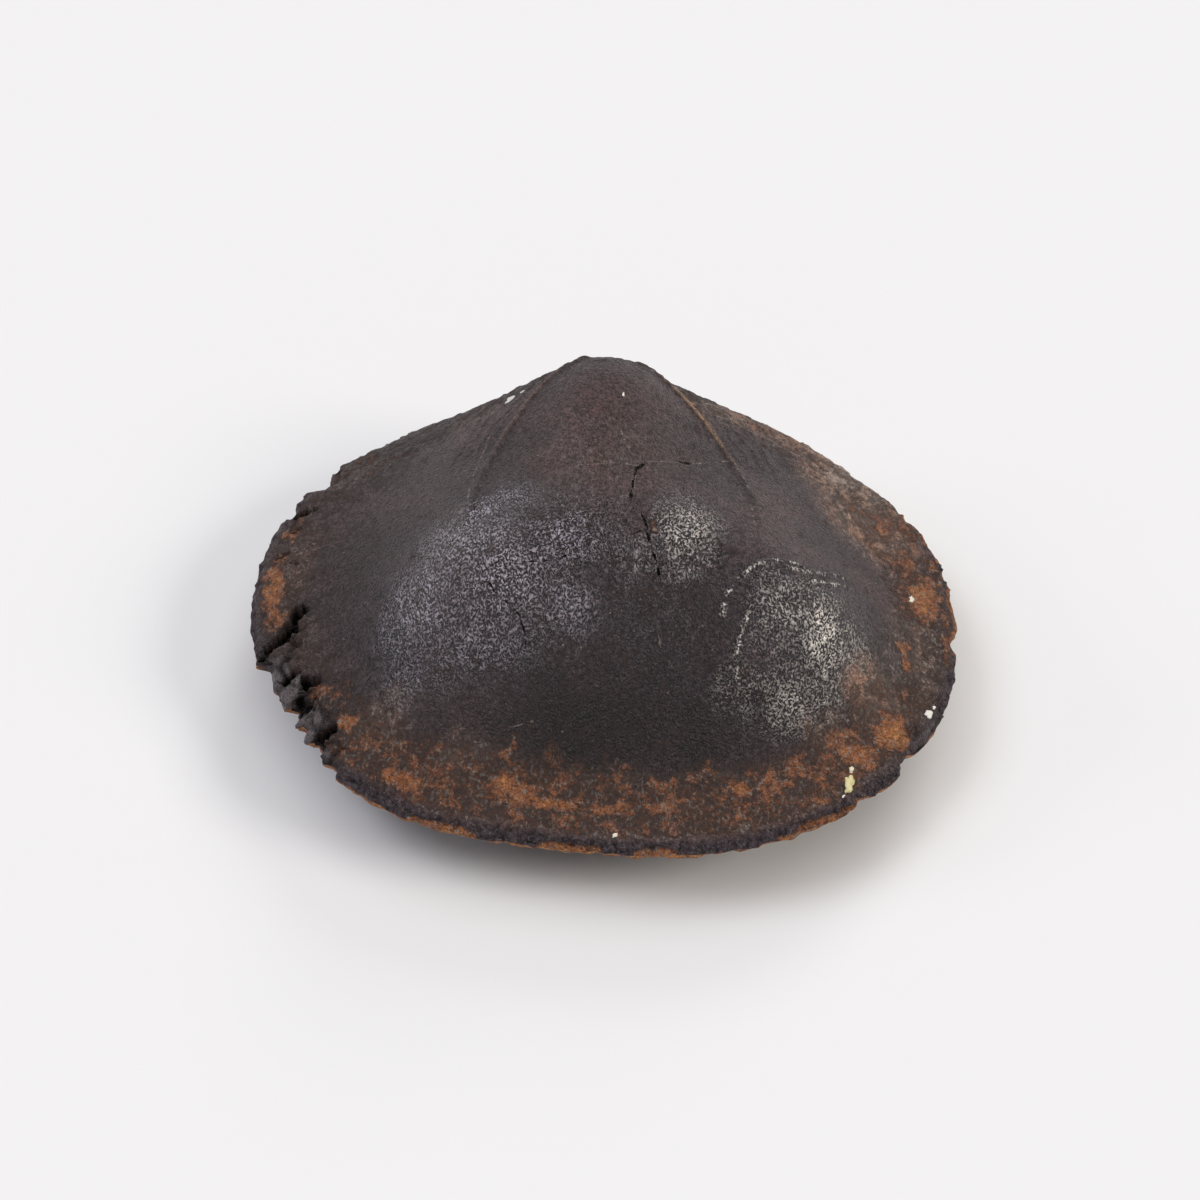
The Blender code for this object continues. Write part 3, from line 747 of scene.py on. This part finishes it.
def ironstone():
    """The stone's material; its patterns are placed in mm round the plan's middle."""
    material = bpy.data.materials.new("ironstone")
    material.use_nodes = True
    tree = material.node_tree
    shader = tree.nodes["Principled BSDF"]
    shader.inputs["IOR"].default_value = STONE_IOR
    shader.inputs["Sheen Weight"].default_value = DUST_SHEEN
    shader.inputs["Sheen Roughness"].default_value = DUST_SHEEN_ROUGH
    shader.inputs["Sheen Tint"].default_value = hex_colour(DUST_SHEEN_TINT)
    place_mm = add(
        tree, "VectorMath",
        {0: add(tree, "TexCoord", {})["Object"], 1: (1 / MM,) * 3, 2: (0.0, -SET_BACK, 0.0)},
        operation="MULTIPLY_ADD",
    )[0]
    mark = {
        label: add(tree, "Attribute", {}, attribute_name=label)["Fac"]
        for label in ("rust", "crust", "polish_and_highlight", "fresh", "pit_shade", "arch", "painted_shade", "film_and_sheen",
                      "crack", "crack_along", "pale", "pale_along")
    }

    # Unevenness that several finishes share: the size of its features, detail and roughness.
    uneven = {
        label: add(tree, "TexNoise", {"Vector": place_mm, "Scale": 1 / size, "Detail": detail,
                                      "Roughness": roughness})["Fac"]
        for label, size, detail, roughness in (
            ("clouds", CLOUD_SIZE, 3.0, 0.5),
            ("mottle", MOTTLE_SIZE, 6.0, 0.65),
            ("grain", GRAIN_SIZE, 3.0, 0.7),
            ("crumbs", CRUMB_SIZE, 4.0, 0.75),
            ("specks", SPECK_SIZE, 9.0, 0.85),
            ("grit", GRIT_SIZE, 4.0, 0.65),
        )
    }

    # Crinkles: worm-like ridges, a little longer from front to back than across, which run
    # together where the skin is most polished.
    warp = add(tree, "TexNoise", {"Vector": place_mm, "Scale": 1 / CRINKLE_WARP_SIZE,
                                  "Detail": 1.0})["Color"]
    warped = add(tree, "VectorMath", {0: warp, 1: (CRINKLE_WARP,) * 3, 2: place_mm},
                 operation="MULTIPLY_ADD")[0]
    stretched = add(tree, "VectorMath", {0: warped, 1: CRINKLE_STRETCH}, operation="MULTIPLY")[0]
    worms = add(tree, "TexNoise", {"Vector": stretched, "Scale": 1 / CRINKLE_SIZE,
                                   "Detail": 0.6, "Roughness": 0.4})["Fac"]
    swollen = add(tree, "Math", {0: mark["polish_and_highlight"], 1: 0.05, 2: -0.05},
                  operation="MULTIPLY_ADD")[0]
    swollen = add(tree, "Math", {0: swollen, 1: worms}, operation="ADD")[0]
    ridges = add(tree, "MapRange", {"Value": swollen, "From Min": 0.46, "From Max": 0.58},
                 interpolation_type="SMOOTHSTEP")[0]

    # Mottling of the bare shell: broad brown clouds under a fine dark grain, painted darker as
    # shade on the steep front, and with a lilac cast, partly painted sheen, where the skin is
    # polished.
    cloudy = add(tree, "MapRange", {"Value": uneven["clouds"], "From Min": 0.4, "From Max": 0.62},
                 interpolation_type="SMOOTHSTEP")[0]
    bare = add(tree, "Mix", {0: cloudy, 6: hex_colour(CHARCOAL), 7: hex_colour(BROWN)},
               data_type="RGBA")[2]
    bare = add(tree, "Mix", {0: mark["painted_shade"], 6: bare, 7: hex_colour(PAINTED_SHADE)},
               data_type="RGBA")[2]
    lilac_sheen = add(tree, "Math", {0: mark["polish_and_highlight"], 1: 0.6}, operation="MULTIPLY")[0]
    bare = add(tree, "Mix", {0: lilac_sheen, 6: bare, 7: hex_colour(LILAC_SHEEN)}, data_type="RGBA")[2]
    mottled = add(tree, "MapRange", {"Value": uneven["mottle"], "From Min": 0.3, "From Max": 0.7,
                                     "To Min": 0.75, "To Max": 1.25})[0]
    grained = add(tree, "MapRange", {"Value": uneven["grain"], "From Min": 0.4, "From Max": 0.6,
                                     "To Min": 0.46, "To Max": 1.60})[0]
    shade = add(tree, "Math", {0: mottled, 1: grained}, operation="MULTIPLY")[0]
    colour = add(tree, "VectorMath", {0: bare, "Scale": shade}, operation="SCALE")[0]

    # Polished skin, painted with light and shade: crests painted bright as highlights and valleys
    # painted dark as shade between them, the highlights lilac on the left lobe and grey on the
    # right.
    patchy = add(tree, "Math", {0: uneven["mottle"], 1: 0.5}, operation="SUBTRACT")[0]
    patchy = add(tree, "Math", {0: patchy, 1: mark["polish_and_highlight"]}, operation="ADD")[0]
    polished_and_highlit = add(tree, "MapRange", {"Value": patchy, "From Min": 0.15, "From Max": 0.65},
                  interpolation_type="SMOOTHSTEP")[0]
    shaded_valleys = add(tree, "VectorMath", {0: colour, "Scale": 0.32}, operation="SCALE")[0]
    highlight_strength = add(tree, "Math", {0: mark["polish_and_highlight"], 1: 2.0}, operation="POWER")[0]
    painted_glints = add(tree, "MapRange", {"Value": uneven["grain"], "From Min": 0.36, "From Max": 0.64,
                                    "To Min": 0.45, "To Max": 1.9})[0]
    highlight_strength = add(tree, "Math", {0: highlight_strength, 1: painted_glints}, operation="MULTIPLY")[0]
    sides = add(tree, "SeparateXYZ", {0: place_mm})
    to_right = add(tree, "MapRange", {"Value": sides["X"], "From Min": -1.0, "From Max": 4.0})[0]
    crest_highlight = add(tree, "Mix", {0: to_right, 6: hex_colour(CREST_HIGHLIGHT_LILAC),
                              7: hex_colour(CREST_HIGHLIGHT_GREY)}, data_type="RGBA")[2]
    highlit_crests = add(tree, "VectorMath", {0: crest_highlight, "Scale": highlight_strength}, operation="SCALE")[0]
    highlit_crests = add(tree, "VectorMath", {0: highlit_crests, 1: colour}, operation="ADD")[0]
    crest_light_and_shade = add(tree, "Mix", {0: ridges, 6: shaded_valleys, 7: highlit_crests}, data_type="RGBA")[2]
    colour = add(tree, "Mix", {0: polished_and_highlit, 6: colour, 7: crest_light_and_shade}, data_type="RGBA")[2]

    # Crust on the margin: charcoal grey, in crumbs.
    flaky = add(tree, "MapRange", {"Value": uneven["crumbs"], "From Min": 0.38, "From Max": 0.62,
                                   "To Min": 0.30, "To Max": 1.8})[0]
    crumbs = add(tree, "VectorMath", {0: hex_colour(CRUST_GREY)[:3], "Scale": flaky},
                 operation="SCALE")[0]
    colour = add(tree, "Mix", {0: mark["crust"], 6: colour, 7: crumbs}, data_type="RGBA")[2]

    # Film of clay: tan, greyed here and there, and broken up into specks; where it is thickest it
    # is lifted to a pale grey, a painted sheen.
    filmy = add(tree, "Math", {0: uneven["specks"], 1: 1.2, 2: -0.6}, operation="MULTIPLY_ADD")[0]
    filmy = add(tree, "Math", {0: filmy, 1: mark["film_and_sheen"]}, operation="ADD")[0]
    filmy = add(tree, "MapRange", {"Value": filmy, "From Min": 0.0, "From Max": 1.25,
                                   "To Max": 0.82}, interpolation_type="SMOOTHSTEP")[0]
    painted_sheen = add(tree, "MapRange", {"Value": mark["film_and_sheen"], "From Min": 0.9, "From Max": 1.8})[0]
    greyed_and_sheen = add(tree, "MapRange", {"Value": uneven["mottle"], "From Min": 0.42, "From Max": 0.58,
                                    "To Max": 0.7})[0]
    greyed_and_sheen = add(tree, "Math", {0: greyed_and_sheen, 1: painted_sheen}, operation="MAXIMUM")[0]
    tan = add(tree, "Mix", {0: greyed_and_sheen, 6: hex_colour(FILM_TAN), 7: hex_colour(FILM_GREY_AND_SHEEN)},
              data_type="RGBA")[2]
    sheen_lift = add(tree, "Math", {0: painted_sheen, 1: 0.7, 2: 1.0}, operation="MULTIPLY_ADD")[0]
    even = add(tree, "Math", {0: shade, 1: 0.45}, operation="POWER")[0]
    sheen_lift = add(tree, "Math", {0: sheen_lift, 1: even}, operation="MULTIPLY")[0]
    tan = add(tree, "VectorMath", {0: tan, "Scale": sheen_lift}, operation="SCALE")[0]
    colour = add(tree, "Mix", {0: filmy, 6: colour, 7: tan}, data_type="RGBA")[2]

    # Rust: specks and streaks, brightest where it is thickest.
    thick = add(tree, "Math", {0: uneven["specks"], 1: 3.0, 2: -1.5}, operation="MULTIPLY_ADD")[0]
    thick = add(tree, "Math", {0: thick, 1: mark["rust"]}, operation="ADD")[0]
    rusted = add(tree, "MapRange", {"Value": thick, "From Min": 0.12, "From Max": 0.60,
                                    "To Max": 0.9}, interpolation_type="SMOOTHSTEP")[0]
    bright = add(tree, "MapRange", {"Value": thick, "From Min": 0.40, "From Max": 0.95},
                 interpolation_type="SMOOTHSTEP")[0]
    brightest = add(tree, "MapRange", {"Value": thick, "From Min": 0.85, "From Max": 1.35},
                    interpolation_type="SMOOTHSTEP")[0]
    rust = add(tree, "Mix", {0: bright, 6: hex_colour(RUST_DARK), 7: hex_colour(RUST_MIDDLE)},
               data_type="RGBA")[2]
    rust = add(tree, "Mix", {0: brightest, 6: rust, 7: hex_colour(RUST_BRIGHT)},
               data_type="RGBA")[2]
    blotchy = add(tree, "Math", {0: flaky, 1: 0.7, 2: 0.42}, operation="MULTIPLY_ADD")[0]
    rust = add(tree, "VectorMath", {0: rust, "Scale": blotchy}, operation="SCALE")[0]
    colour = add(tree, "Mix", {0: rusted, 6: colour, 7: rust}, data_type="RGBA")[2]

    # Scales: small pale flakes lifting from the brim.
    scales = add(
        tree, "TexNoise",
        {"Vector": stretched, "Scale": 1 / SCALE_SIZE, "Detail": 2.0, "Roughness": 0.6},
    )["Fac"]
    scales = add(tree, "MapRange", {"Value": scales, "From Min": 0.54, "From Max": 0.66},
                 interpolation_type="SMOOTHSTEP")[0]
    on_brim = add(tree, "Math", {0: mark["rust"], 1: mark["film_and_sheen"]}, operation="MAXIMUM")[0]
    on_crust = add(tree, "Math", {0: mark["crust"], 1: 0.3}, operation="MULTIPLY")[0]
    on_brim = add(tree, "Math", {0: on_brim, 1: on_crust}, operation="MAXIMUM")[0]
    on_brim = add(tree, "MapRange", {"Value": on_brim, "From Min": 0.15, "From Max": 0.5,
                                     "To Max": 0.6})[0]
    scales = add(tree, "Math", {0: scales, 1: on_brim}, operation="MULTIPLY")[0]
    colour = add(tree, "Mix", {0: scales, 6: colour, 7: hex_colour(SCALE_PALE)},
                 data_type="RGBA")[2]

    # Flecks: pale dust grains caught on the shell, about half of the places without one.
    dust = add(tree, "TexVoronoi", {"Vector": place_mm, "Scale": 1 / DUST_SPACING})
    fleck = add(tree, "Math", {0: dust["Distance"], 1: DUST_RADIUS / DUST_SPACING},
                operation="LESS_THAN")[0]
    fleck_pick = add(tree, "SeparateColor", {0: dust["Color"]})
    picked = add(tree, "Math", {0: fleck_pick["Red"], 1: 0.6}, operation="LESS_THAN")[0]
    fleck = add(tree, "Math", {0: fleck, 1: picked}, operation="MULTIPLY")[0]
    fleck = add(tree, "Math", {0: fleck, 1: DUST_AMOUNT}, operation="MULTIPLY")[0]
    colour = add(tree, "Mix", {0: fleck, 6: colour, 7: hex_colour(CRACK_PALE)},
                 data_type="RGBA")[2]

    # Edge of the flaked layer: a tan strip just outside the arch, broadest behind it.
    strip = add(tree, "MapRange", {"Value": mark["arch"], "From Min": 0.02, "From Max": 0.10},
                interpolation_type="SMOOTHSTEP")[0]
    reach = add(tree, "MapRange", {"Value": sides["Y"], "From Min": 6.0, "From Max": 12.0,
                                   "To Min": 0.16, "To Max": 1.15})[0]
    share = add(tree, "Math", {0: mark["arch"], 1: reach}, operation="DIVIDE")[0]
    share = add(tree, "Math", {0: uneven["specks"], 1: 1.6, 2: share}, operation="MULTIPLY_ADD")[0]
    strip_ends = add(tree, "MapRange", {"Value": share, "From Min": 1.1, "From Max": 2.0,
                                        "To Min": 1.0, "To Max": 0.0},
                     interpolation_type="SMOOTHSTEP")[0]
    tip = add(tree, "MapRange", {"Value": sides["Y"], "From Min": 11.0, "From Max": 12.8,
                                 "To Min": 1.0, "To Max": 0.0})[0]
    strip_ends = add(tree, "Math", {0: strip_ends, 1: tip}, operation="MULTIPLY")[0]
    strip = add(tree, "Math", {0: strip, 1: strip_ends}, operation="MULTIPLY")[0]
    back = add(tree, "MapRange", {"Value": sides["Y"], "From Min": 5.5, "From Max": 9.5})[0]
    right = add(tree, "MapRange", {"Value": sides["X"], "From Min": 1.0, "From Max": 3.0,
                                   "To Min": 0.25, "To Max": 0.9})[0]
    strip = add(tree, "Math", {0: strip, 1: back}, operation="MULTIPLY")[0]
    strip = add(tree, "Math", {0: strip, 1: right}, operation="MULTIPLY")[0]
    layer_tan = add(tree, "VectorMath", {0: hex_colour(LAYER_TAN)[:3], "Scale": flaky},
                    operation="SCALE")[0]
    colour = add(tree, "Mix", {0: strip, 6: colour, 7: layer_tan}, data_type="RGBA")[2]

    # Broken faces are bare dark grey stone, and pits and the gaps between blocks are painted black
    # as shade.
    fresh = add(tree, "VectorMath", {0: hex_colour(FRESH_GREY)[:3], "Scale": blotchy},
                operation="SCALE")[0]
    colour = add(tree, "Mix", {0: mark["fresh"], 6: colour, 7: fresh}, data_type="RGBA")[2]
    colour = add(tree, "Mix", {0: mark["pit_shade"], 6: colour, 7: hex_colour(SHADE_BLACK)},
                 data_type="RGBA")[2]

    # Cracks and pale hairlines come and go along their length, and the lengths that gape don't.
    # Cracks are painted black as shade.
    on_line = {}
    for line, breaks, least, half_width, gaping_half_width in (
        ("crack", CRACK_BREAKS, 0.40, CRACK_HALF_WIDTH, GAPE_HALF_WIDTH),
        ("pale", PALE_BREAKS, 0.42, PALE_HALF_WIDTH, 0.0),
    ):
        along = mark[line + "_along"]
        broken_up = add(tree, "TexNoise", {"W": along, "Scale": breaks, "Detail": 3.0},
                        noise_dimensions="1D")["Fac"]
        width = add(tree, "MapRange", {"Value": broken_up, "From Min": least, "From Max": 0.7,
                                       "To Min": 0.0, "To Max": half_width})[0]
        gaping = add(tree, "MapRange", {"Value": along, "From Min": 0.4 * GAPES_START,
                                        "From Max": 0.6 * GAPES_START, "To Min": 0.0,
                                        "To Max": gaping_half_width})[0]
        width = add(tree, "Math", {0: width, 1: gaping}, operation="ADD")[0]
        across = add(tree, "Math", {0: mark[line]}, operation="ABSOLUTE")[0]
        within = add(tree, "Math", {0: across, 1: width}, operation="LESS_THAN")[0]
        has_line = add(tree, "Math", {0: along, 1: 0.0}, operation="GREATER_THAN")[0]
        on_line[line] = add(tree, "Math", {0: within, 1: has_line}, operation="MULTIPLY")[0]
    colour = add(tree, "Mix", {0: on_line["crack"], 6: colour, 7: hex_colour(SHADE_BLACK)},
                 data_type="RGBA")[2]
    paled = add(tree, "Math", {0: on_line["pale"], 1: PALE_AMOUNT}, operation="MULTIPLY")[0]
    colour = add(tree, "Mix", {0: paled, 6: colour, 7: hex_colour(CRACK_PALE)},
                 data_type="RGBA")[2]
    tree.links.new(colour, shader.inputs["Base Color"])

    # Strength of the shine: weak on rust and crust, and none in pits and cracks, which swallow
    # the light.
    dull = add(tree, "Math", {0: rusted, 1: mark["crust"]}, operation="MAXIMUM")[0]
    shine = add(tree, "MapRange", {"Value": dull, "To Min": 1.0, "To Max": RUST_SHINE})[0]
    hidden = add(tree, "Math", {0: mark["pit_shade"], 1: on_line["crack"]}, operation="MAXIMUM")[0]
    seen = add(tree, "Math", {0: 1.0, 1: hidden}, operation="SUBTRACT", use_clamp=True)[0]
    shine = add(tree, "Math", {0: shine, 1: seen}, operation="MULTIPLY")[0]
    tree.links.new(shine, shader.inputs["Specular Tint"])

    # Roughness: satin on polished skin and dull on rust and crust.
    dull = add(tree, "Math", {0: dull, 1: mark["pit_shade"]}, operation="MAXIMUM")[0]
    satin = add(tree, "MapRange", {"Value": polished_and_highlit, "To Min": BARE_ROUGH,
                                   "To Max": SATIN_ROUGH})[0]
    rough = add(tree, "Mix", {0: dull, 2: satin, 3: RUST_ROUGH}, data_type="FLOAT")[0]
    rough = add(tree, "Mix", {0: mark["fresh"], 2: rough, 3: FRESH_ROUGH}, data_type="FLOAT")[0]
    tree.links.new(rough, shader.inputs["Roughness"])

    # Relief too fine for the mesh: the crinkles, and grit on rust and crust.
    crinkled = add(tree, "MapRange", {"Value": polished_and_highlit, "To Min": 1.0,
                                      "To Max": POLISHED_CRINKLE})[0]
    crinkled = add(tree, "Math", {0: crinkled, 1: CRINKLE_HEIGHT * MM}, operation="MULTIPLY")[0]
    height = add(tree, "Math", {0: worms, 1: crinkled}, operation="MULTIPLY")[0]
    gritty = add(tree, "Math", {0: dull, 1: GRIT_HEIGHT * MM, 2: GRIT_LEAST * MM},
                 operation="MULTIPLY_ADD")[0]
    height = add(tree, "Math", {0: uneven["grit"], 1: gritty, 2: height},
                 operation="MULTIPLY_ADD")[0]
    bump = add(tree, "Bump", {"Height": height, "Strength": 1.0, "Distance": 1.0})["Normal"]
    tree.links.new(bump, shader.inputs["Normal"])
    return material


IRONSTONE = ironstone()
upper = upper_valve()
upper.data.materials.append(IRONSTONE)
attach(upper, "root")
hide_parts(NODE)


# ---------------------------------------------------------------------------------------------
# Lower valve. A shallow bowl of the same ironstone, ringed by faint growth lines, rusty under
# the rim, and worn flat in the middle where it rests.
BOWL_POWER, WORN_DEPTH = 2.3, 0.15  # roundness of the bowl, and what wear took off its middle
GROWTH_SPACING, GROWTH_HEIGHT, GROWTH_WANDER = 1.5, 0.05, 0.35
BOWL_RELIEF, RIM_RELIEF = (0.06, 0.02), (0.10, 0.05)  # coarse and middling, middling and fine
RIM_INSET, WORN_HEIGHT = (0.8, 2.6), 0.5  # where the rim stops, and the relief dies away
FRESH_FLATTENED_BELOW = 0.8
RIM_RUST, RIM_CRUST, RIM_FILM = 1.1, 0.25, 0.5
# The worn middle's polish also paints faint highlights on its crests.
BOWL_RUST, BOWL_RUST_PATCHY, WORN_POLISH_AND_HIGHLIGHT, WORN_POLISH_AND_HIGHLIGHT_HEIGHT = 0.38, 0.5, 0.2, 0.6
INSIDE_ARCH = -9.0  # far inside the arch, so that no edge of the outer layer shows


def lower_height(shell):
    """The bowl from the margin to its middle, as it was before wear."""
    depth = MARGIN_Z - EDGE_RISE + WORN_DEPTH
    return MARGIN_Z - EDGE_RISE - depth * (1 - shell.share**BOWL_POWER)


def lower_valve():
    shape, directions = half_ball(False)
    shell = Shell(directions, lower_height)
    points = shell.points.copy()
    points[:, :2] -= MIDDLE
    inset, count = shell.inset, len(points)
    coarse = noise_at(points, COARSE_SIZE, 3, 11.0)
    middling = noise_at(points, MIDDLING_SIZE, 4, 12.0)
    fine = noise_at(points, FINE_SIZE, 3, 15.0)
    points, fresh = cut_faces(points)
    normals = normals_of(shape, points)
    rim = 1 - smooth_step(inset, *RIM_INSET)
    lines = np.cos(2 * math.pi * (inset + GROWTH_WANDER * coarse) / GROWTH_SPACING)
    raised = np.dot(BOWL_RELIEF, (coarse, middling)) + GROWTH_HEIGHT * lines * (1 - rim)
    raised = raised + rim * np.dot(RIM_RELIEF, (middling, fine))
    raised = raised * smooth_step(-shell.level, 0.0, MARGIN_LEVEL)
    raised = raised * smooth_step(points[:, 2], 0.0, WORN_HEIGHT)
    raised = raised * (1 - FRESH_FLATTENED_BELOW * fresh)
    points = points + normals * raised[:, None]
    place(shape, points)
    marks = {
        "rust": np.maximum(RIM_RUST * rim, BOWL_RUST + BOWL_RUST_PATCHY * coarse) * (1 - fresh),
        "crust": RIM_CRUST * rim,
        "polish_and_highlight": WORN_POLISH_AND_HIGHLIGHT * (1 - smooth_step(points[:, 2], 0.0, WORN_POLISH_AND_HIGHLIGHT_HEIGHT)),
        "fresh": fresh,
        "pit_shade": np.zeros(count),
        "arch": np.full(count, INSIDE_ARCH),
        "painted_shade": np.zeros(count),
        "film_and_sheen": RIM_FILM * rim,
        "crack": np.full(count, NO_LINE_ACROSS),
        "crack_along": np.full(count, NO_LINE_ALONG),
        "pale": np.full(count, NO_LINE_ACROSS),
        "pale_along": np.full(count, NO_LINE_ALONG),
    }
    return finished(shape, marks, "lower_valve")


lower = lower_valve()
lower.data.materials.append(IRONSTONE)
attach(lower, "root")
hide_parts(NODE)


# ---------------------------------------------------------------------------------------------
# Calcite grains. A few white and pale yellow specks of the rock the fossil lay in, stuck half
# sunk into the upper valve; each is a small lumpy crystal.
GRAIN_DEPTH, GRAIN_LUMPS = 0.25, 0.75  # how far the middle sinks in, and unevenness, by share
GRAIN_FLATNESS, LUMP_SCALE = 0.55, 1.8
# Place, half-length and half-width in mm, the bearing of the length, and how yellow it is.
GRAINS = (
    ((-5.20, 11.40), 0.36, 0.22, 20.0, 0.0),
    ((-4.55, 11.75), 0.16, 0.12, 20.0, 0.1),
    ((17.45, -6.80), 0.26, 0.22, 40.0, 0.0),
    ((17.80, -6.35), 0.12, 0.09, 60.0, 0.0),
    ((13.00, -11.35), 0.52, 0.27, 82.0, 1.0),
    ((13.05, -10.70), 0.17, 0.15, 60.0, 0.6),
    ((12.55, -12.15), 0.16, 0.12, 45.0, 0.1),
    ((16.90, 0.40), 0.26, 0.14, 80.0, 0.3),
    ((1.10, 8.70), 0.16, 0.07, 80.0, 0.3),
    ((0.60, -14.60), 0.13, 0.11, 10.0, 0.2),
)
# Calcite: cloudy crystal, white or stained pale yellow by iron. It catches the eye as small
# bright specks with a soft gloss.
CALCITE_WHITE, CALCITE_YELLOW, CALCITE_ROUGH = "e6e3dc", "d9cf9c", 0.4


def calcite_grains():
    heights = np.array([vertex.co for vertex in upper.data.vertices]) / MM
    shape = bmesh.new()
    yellow = []
    for (x, y), half_length, half_width, turn, yellowness in GRAINS:
        nearest = np.argmin(np.hypot(heights[:, 0] - x, heights[:, 1] - y - SET_BACK))
        surface, upright = Vector(heights[nearest]), upper.data.vertices[int(nearest)].normal
        lengthways = Vector((math.cos(math.radians(turn)), math.sin(math.radians(turn)), 0.0))
        sideways = upright.cross(lengthways).normalized()
        lengthways = sideways.cross(upright)
        ball = bmesh.ops.create_icosphere(shape, subdivisions=3, radius=1.0)["verts"]
        for vertex in ball:
            uneven = noise.noise(LUMP_SCALE * vertex.co + Vector((x, y, 0.0)))
            lump = (1 + GRAIN_LUMPS * uneven) * MM
            raised = (vertex.co.z - GRAIN_DEPTH) * GRAIN_FLATNESS * half_width
            vertex.co = surface * MM + lump * (
                lengthways * vertex.co.x * half_length
                + sideways * vertex.co.y * half_width
                + upright * raised
            )
        yellow.extend([yellowness] * len(ball))
    return finished(shape, {"yellow": yellow}, "calcite_grains")


def calcite():
    material = bpy.data.materials.new("calcite")
    material.use_nodes = True
    tree = material.node_tree
    shader = tree.nodes["Principled BSDF"]
    shader.inputs["Roughness"].default_value = CALCITE_ROUGH
    tinted = add(tree, "Attribute", {}, attribute_name="yellow")["Fac"]
    colour = add(tree, "Mix", {0: tinted, 6: hex_colour(CALCITE_WHITE),
                               7: hex_colour(CALCITE_YELLOW)}, data_type="RGBA")[2]
    tree.links.new(colour, shader.inputs["Base Color"])
    return material


grains = calcite_grains()
grains.data.materials.append(calcite())
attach(grains, "root")
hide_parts(NODE)


# ---------------------------------------------------------------------------------------------
# Floor, lights and camera. A sheet of matt white paper, bright and without shine, so that it
# shows soft shadows alone. The stone stands on it under one broad light from straight above,
# with a cool light on its left, a warm one at its right front, and weak ones behind and low.
FLOOR_SIZE = 6.0
PAPER_WHITE, PAPER_ROUGH, PAPER_SPECULAR = "eeeeef", 0.9, 0.1


def floor_sheet():
    sheet = bmesh.new()
    bmesh.ops.create_grid(sheet, x_segments=1, y_segments=1, size=FLOOR_SIZE / 2)
    mesh = bpy.data.meshes.new("floor")
    sheet.to_mesh(mesh)
    sheet.free()
    made = bpy.data.objects.new("floor", mesh)
    bpy.context.scene.collection.objects.link(made)
    paper = bpy.data.materials.new("matt_white_paper")
    paper.use_nodes = True
    shader = paper.node_tree.nodes["Principled BSDF"]
    shader.inputs["Base Color"].default_value = hex_colour(PAPER_WHITE)
    shader.inputs["Roughness"].default_value = PAPER_ROUGH
    shader.inputs["Specular IOR Level"].default_value = PAPER_SPECULAR
    mesh.materials.append(paper)


floor_sheet()

# Each light's bearing and elevation, strength, spread in degrees, and colour.
LIGHTS = (
    ("above", (0.0, 89.0), 1.08, 60.0, "fffdfa"),
    ("left", (180.0, 60.0), 0.74, 26.0, "f2f4ff"),
    ("right", (-16.0, 36.0), 1.25, 22.0, "fff8ec"),
    ("behind", (66.0, 36.0), 0.60, 24.0, "fffdfa"),
    ("low", (180.0, 30.0), 0.30, 16.0, "f2f4ff"),
)
for name, towards, strength, spread, tint in LIGHTS:
    bearing, elevation = (math.radians(angle) for angle in towards)
    light = bpy.data.lights.new(name, "SUN")
    light.energy = strength
    light.angle = math.radians(spread)
    light.color = hex_colour(tint)[:3]
    lamp = bpy.data.objects.new(name, light)
    bpy.context.scene.collection.objects.link(lamp)
    outwards = Vector((
        math.cos(elevation) * math.cos(bearing),
        math.cos(elevation) * math.sin(bearing),
        math.sin(elevation),
    ))
    lamp.rotation_euler = outwards.to_track_quat("Z", "Y").to_euler()

ROOM_LIGHT, ROOM_STRENGTH = "e8ebf2", 0.18
world = bpy.data.worlds.new("dim_room")
bpy.context.scene.world = world
world.use_nodes = True
world.node_tree.nodes["Background"].inputs["Color"].default_value = hex_colour(ROOM_LIGHT)
world.node_tree.nodes["Background"].inputs["Strength"].default_value = ROOM_STRENGTH

CAMERA_ELEVATION, CAMERA_DISTANCE, CAMERA_NEAREST = 52.0, 0.155, 0.01
CAMERA_LENS, CAMERA_SENSOR = 86.0, 36.0  # mm
CAMERA_TARGET = (-0.00015, -0.00058, 0.0080)
camera = bpy.data.cameras.new("camera")
camera.lens = CAMERA_LENS
camera.sensor_width = CAMERA_SENSOR
camera.clip_start = CAMERA_NEAREST
eye = bpy.data.objects.new("camera", camera)
bpy.context.scene.collection.objects.link(eye)
tilt = math.radians(CAMERA_ELEVATION)
back_off = Vector((0.0, -math.cos(tilt), math.sin(tilt))) * CAMERA_DISTANCE
eye.location = Vector(CAMERA_TARGET) + back_off
eye.rotation_euler = (math.pi / 2 - tilt, 0.0, 0.0)
bpy.context.scene.camera = eye
bpy.context.scene.view_settings.view_transform = "Standard"
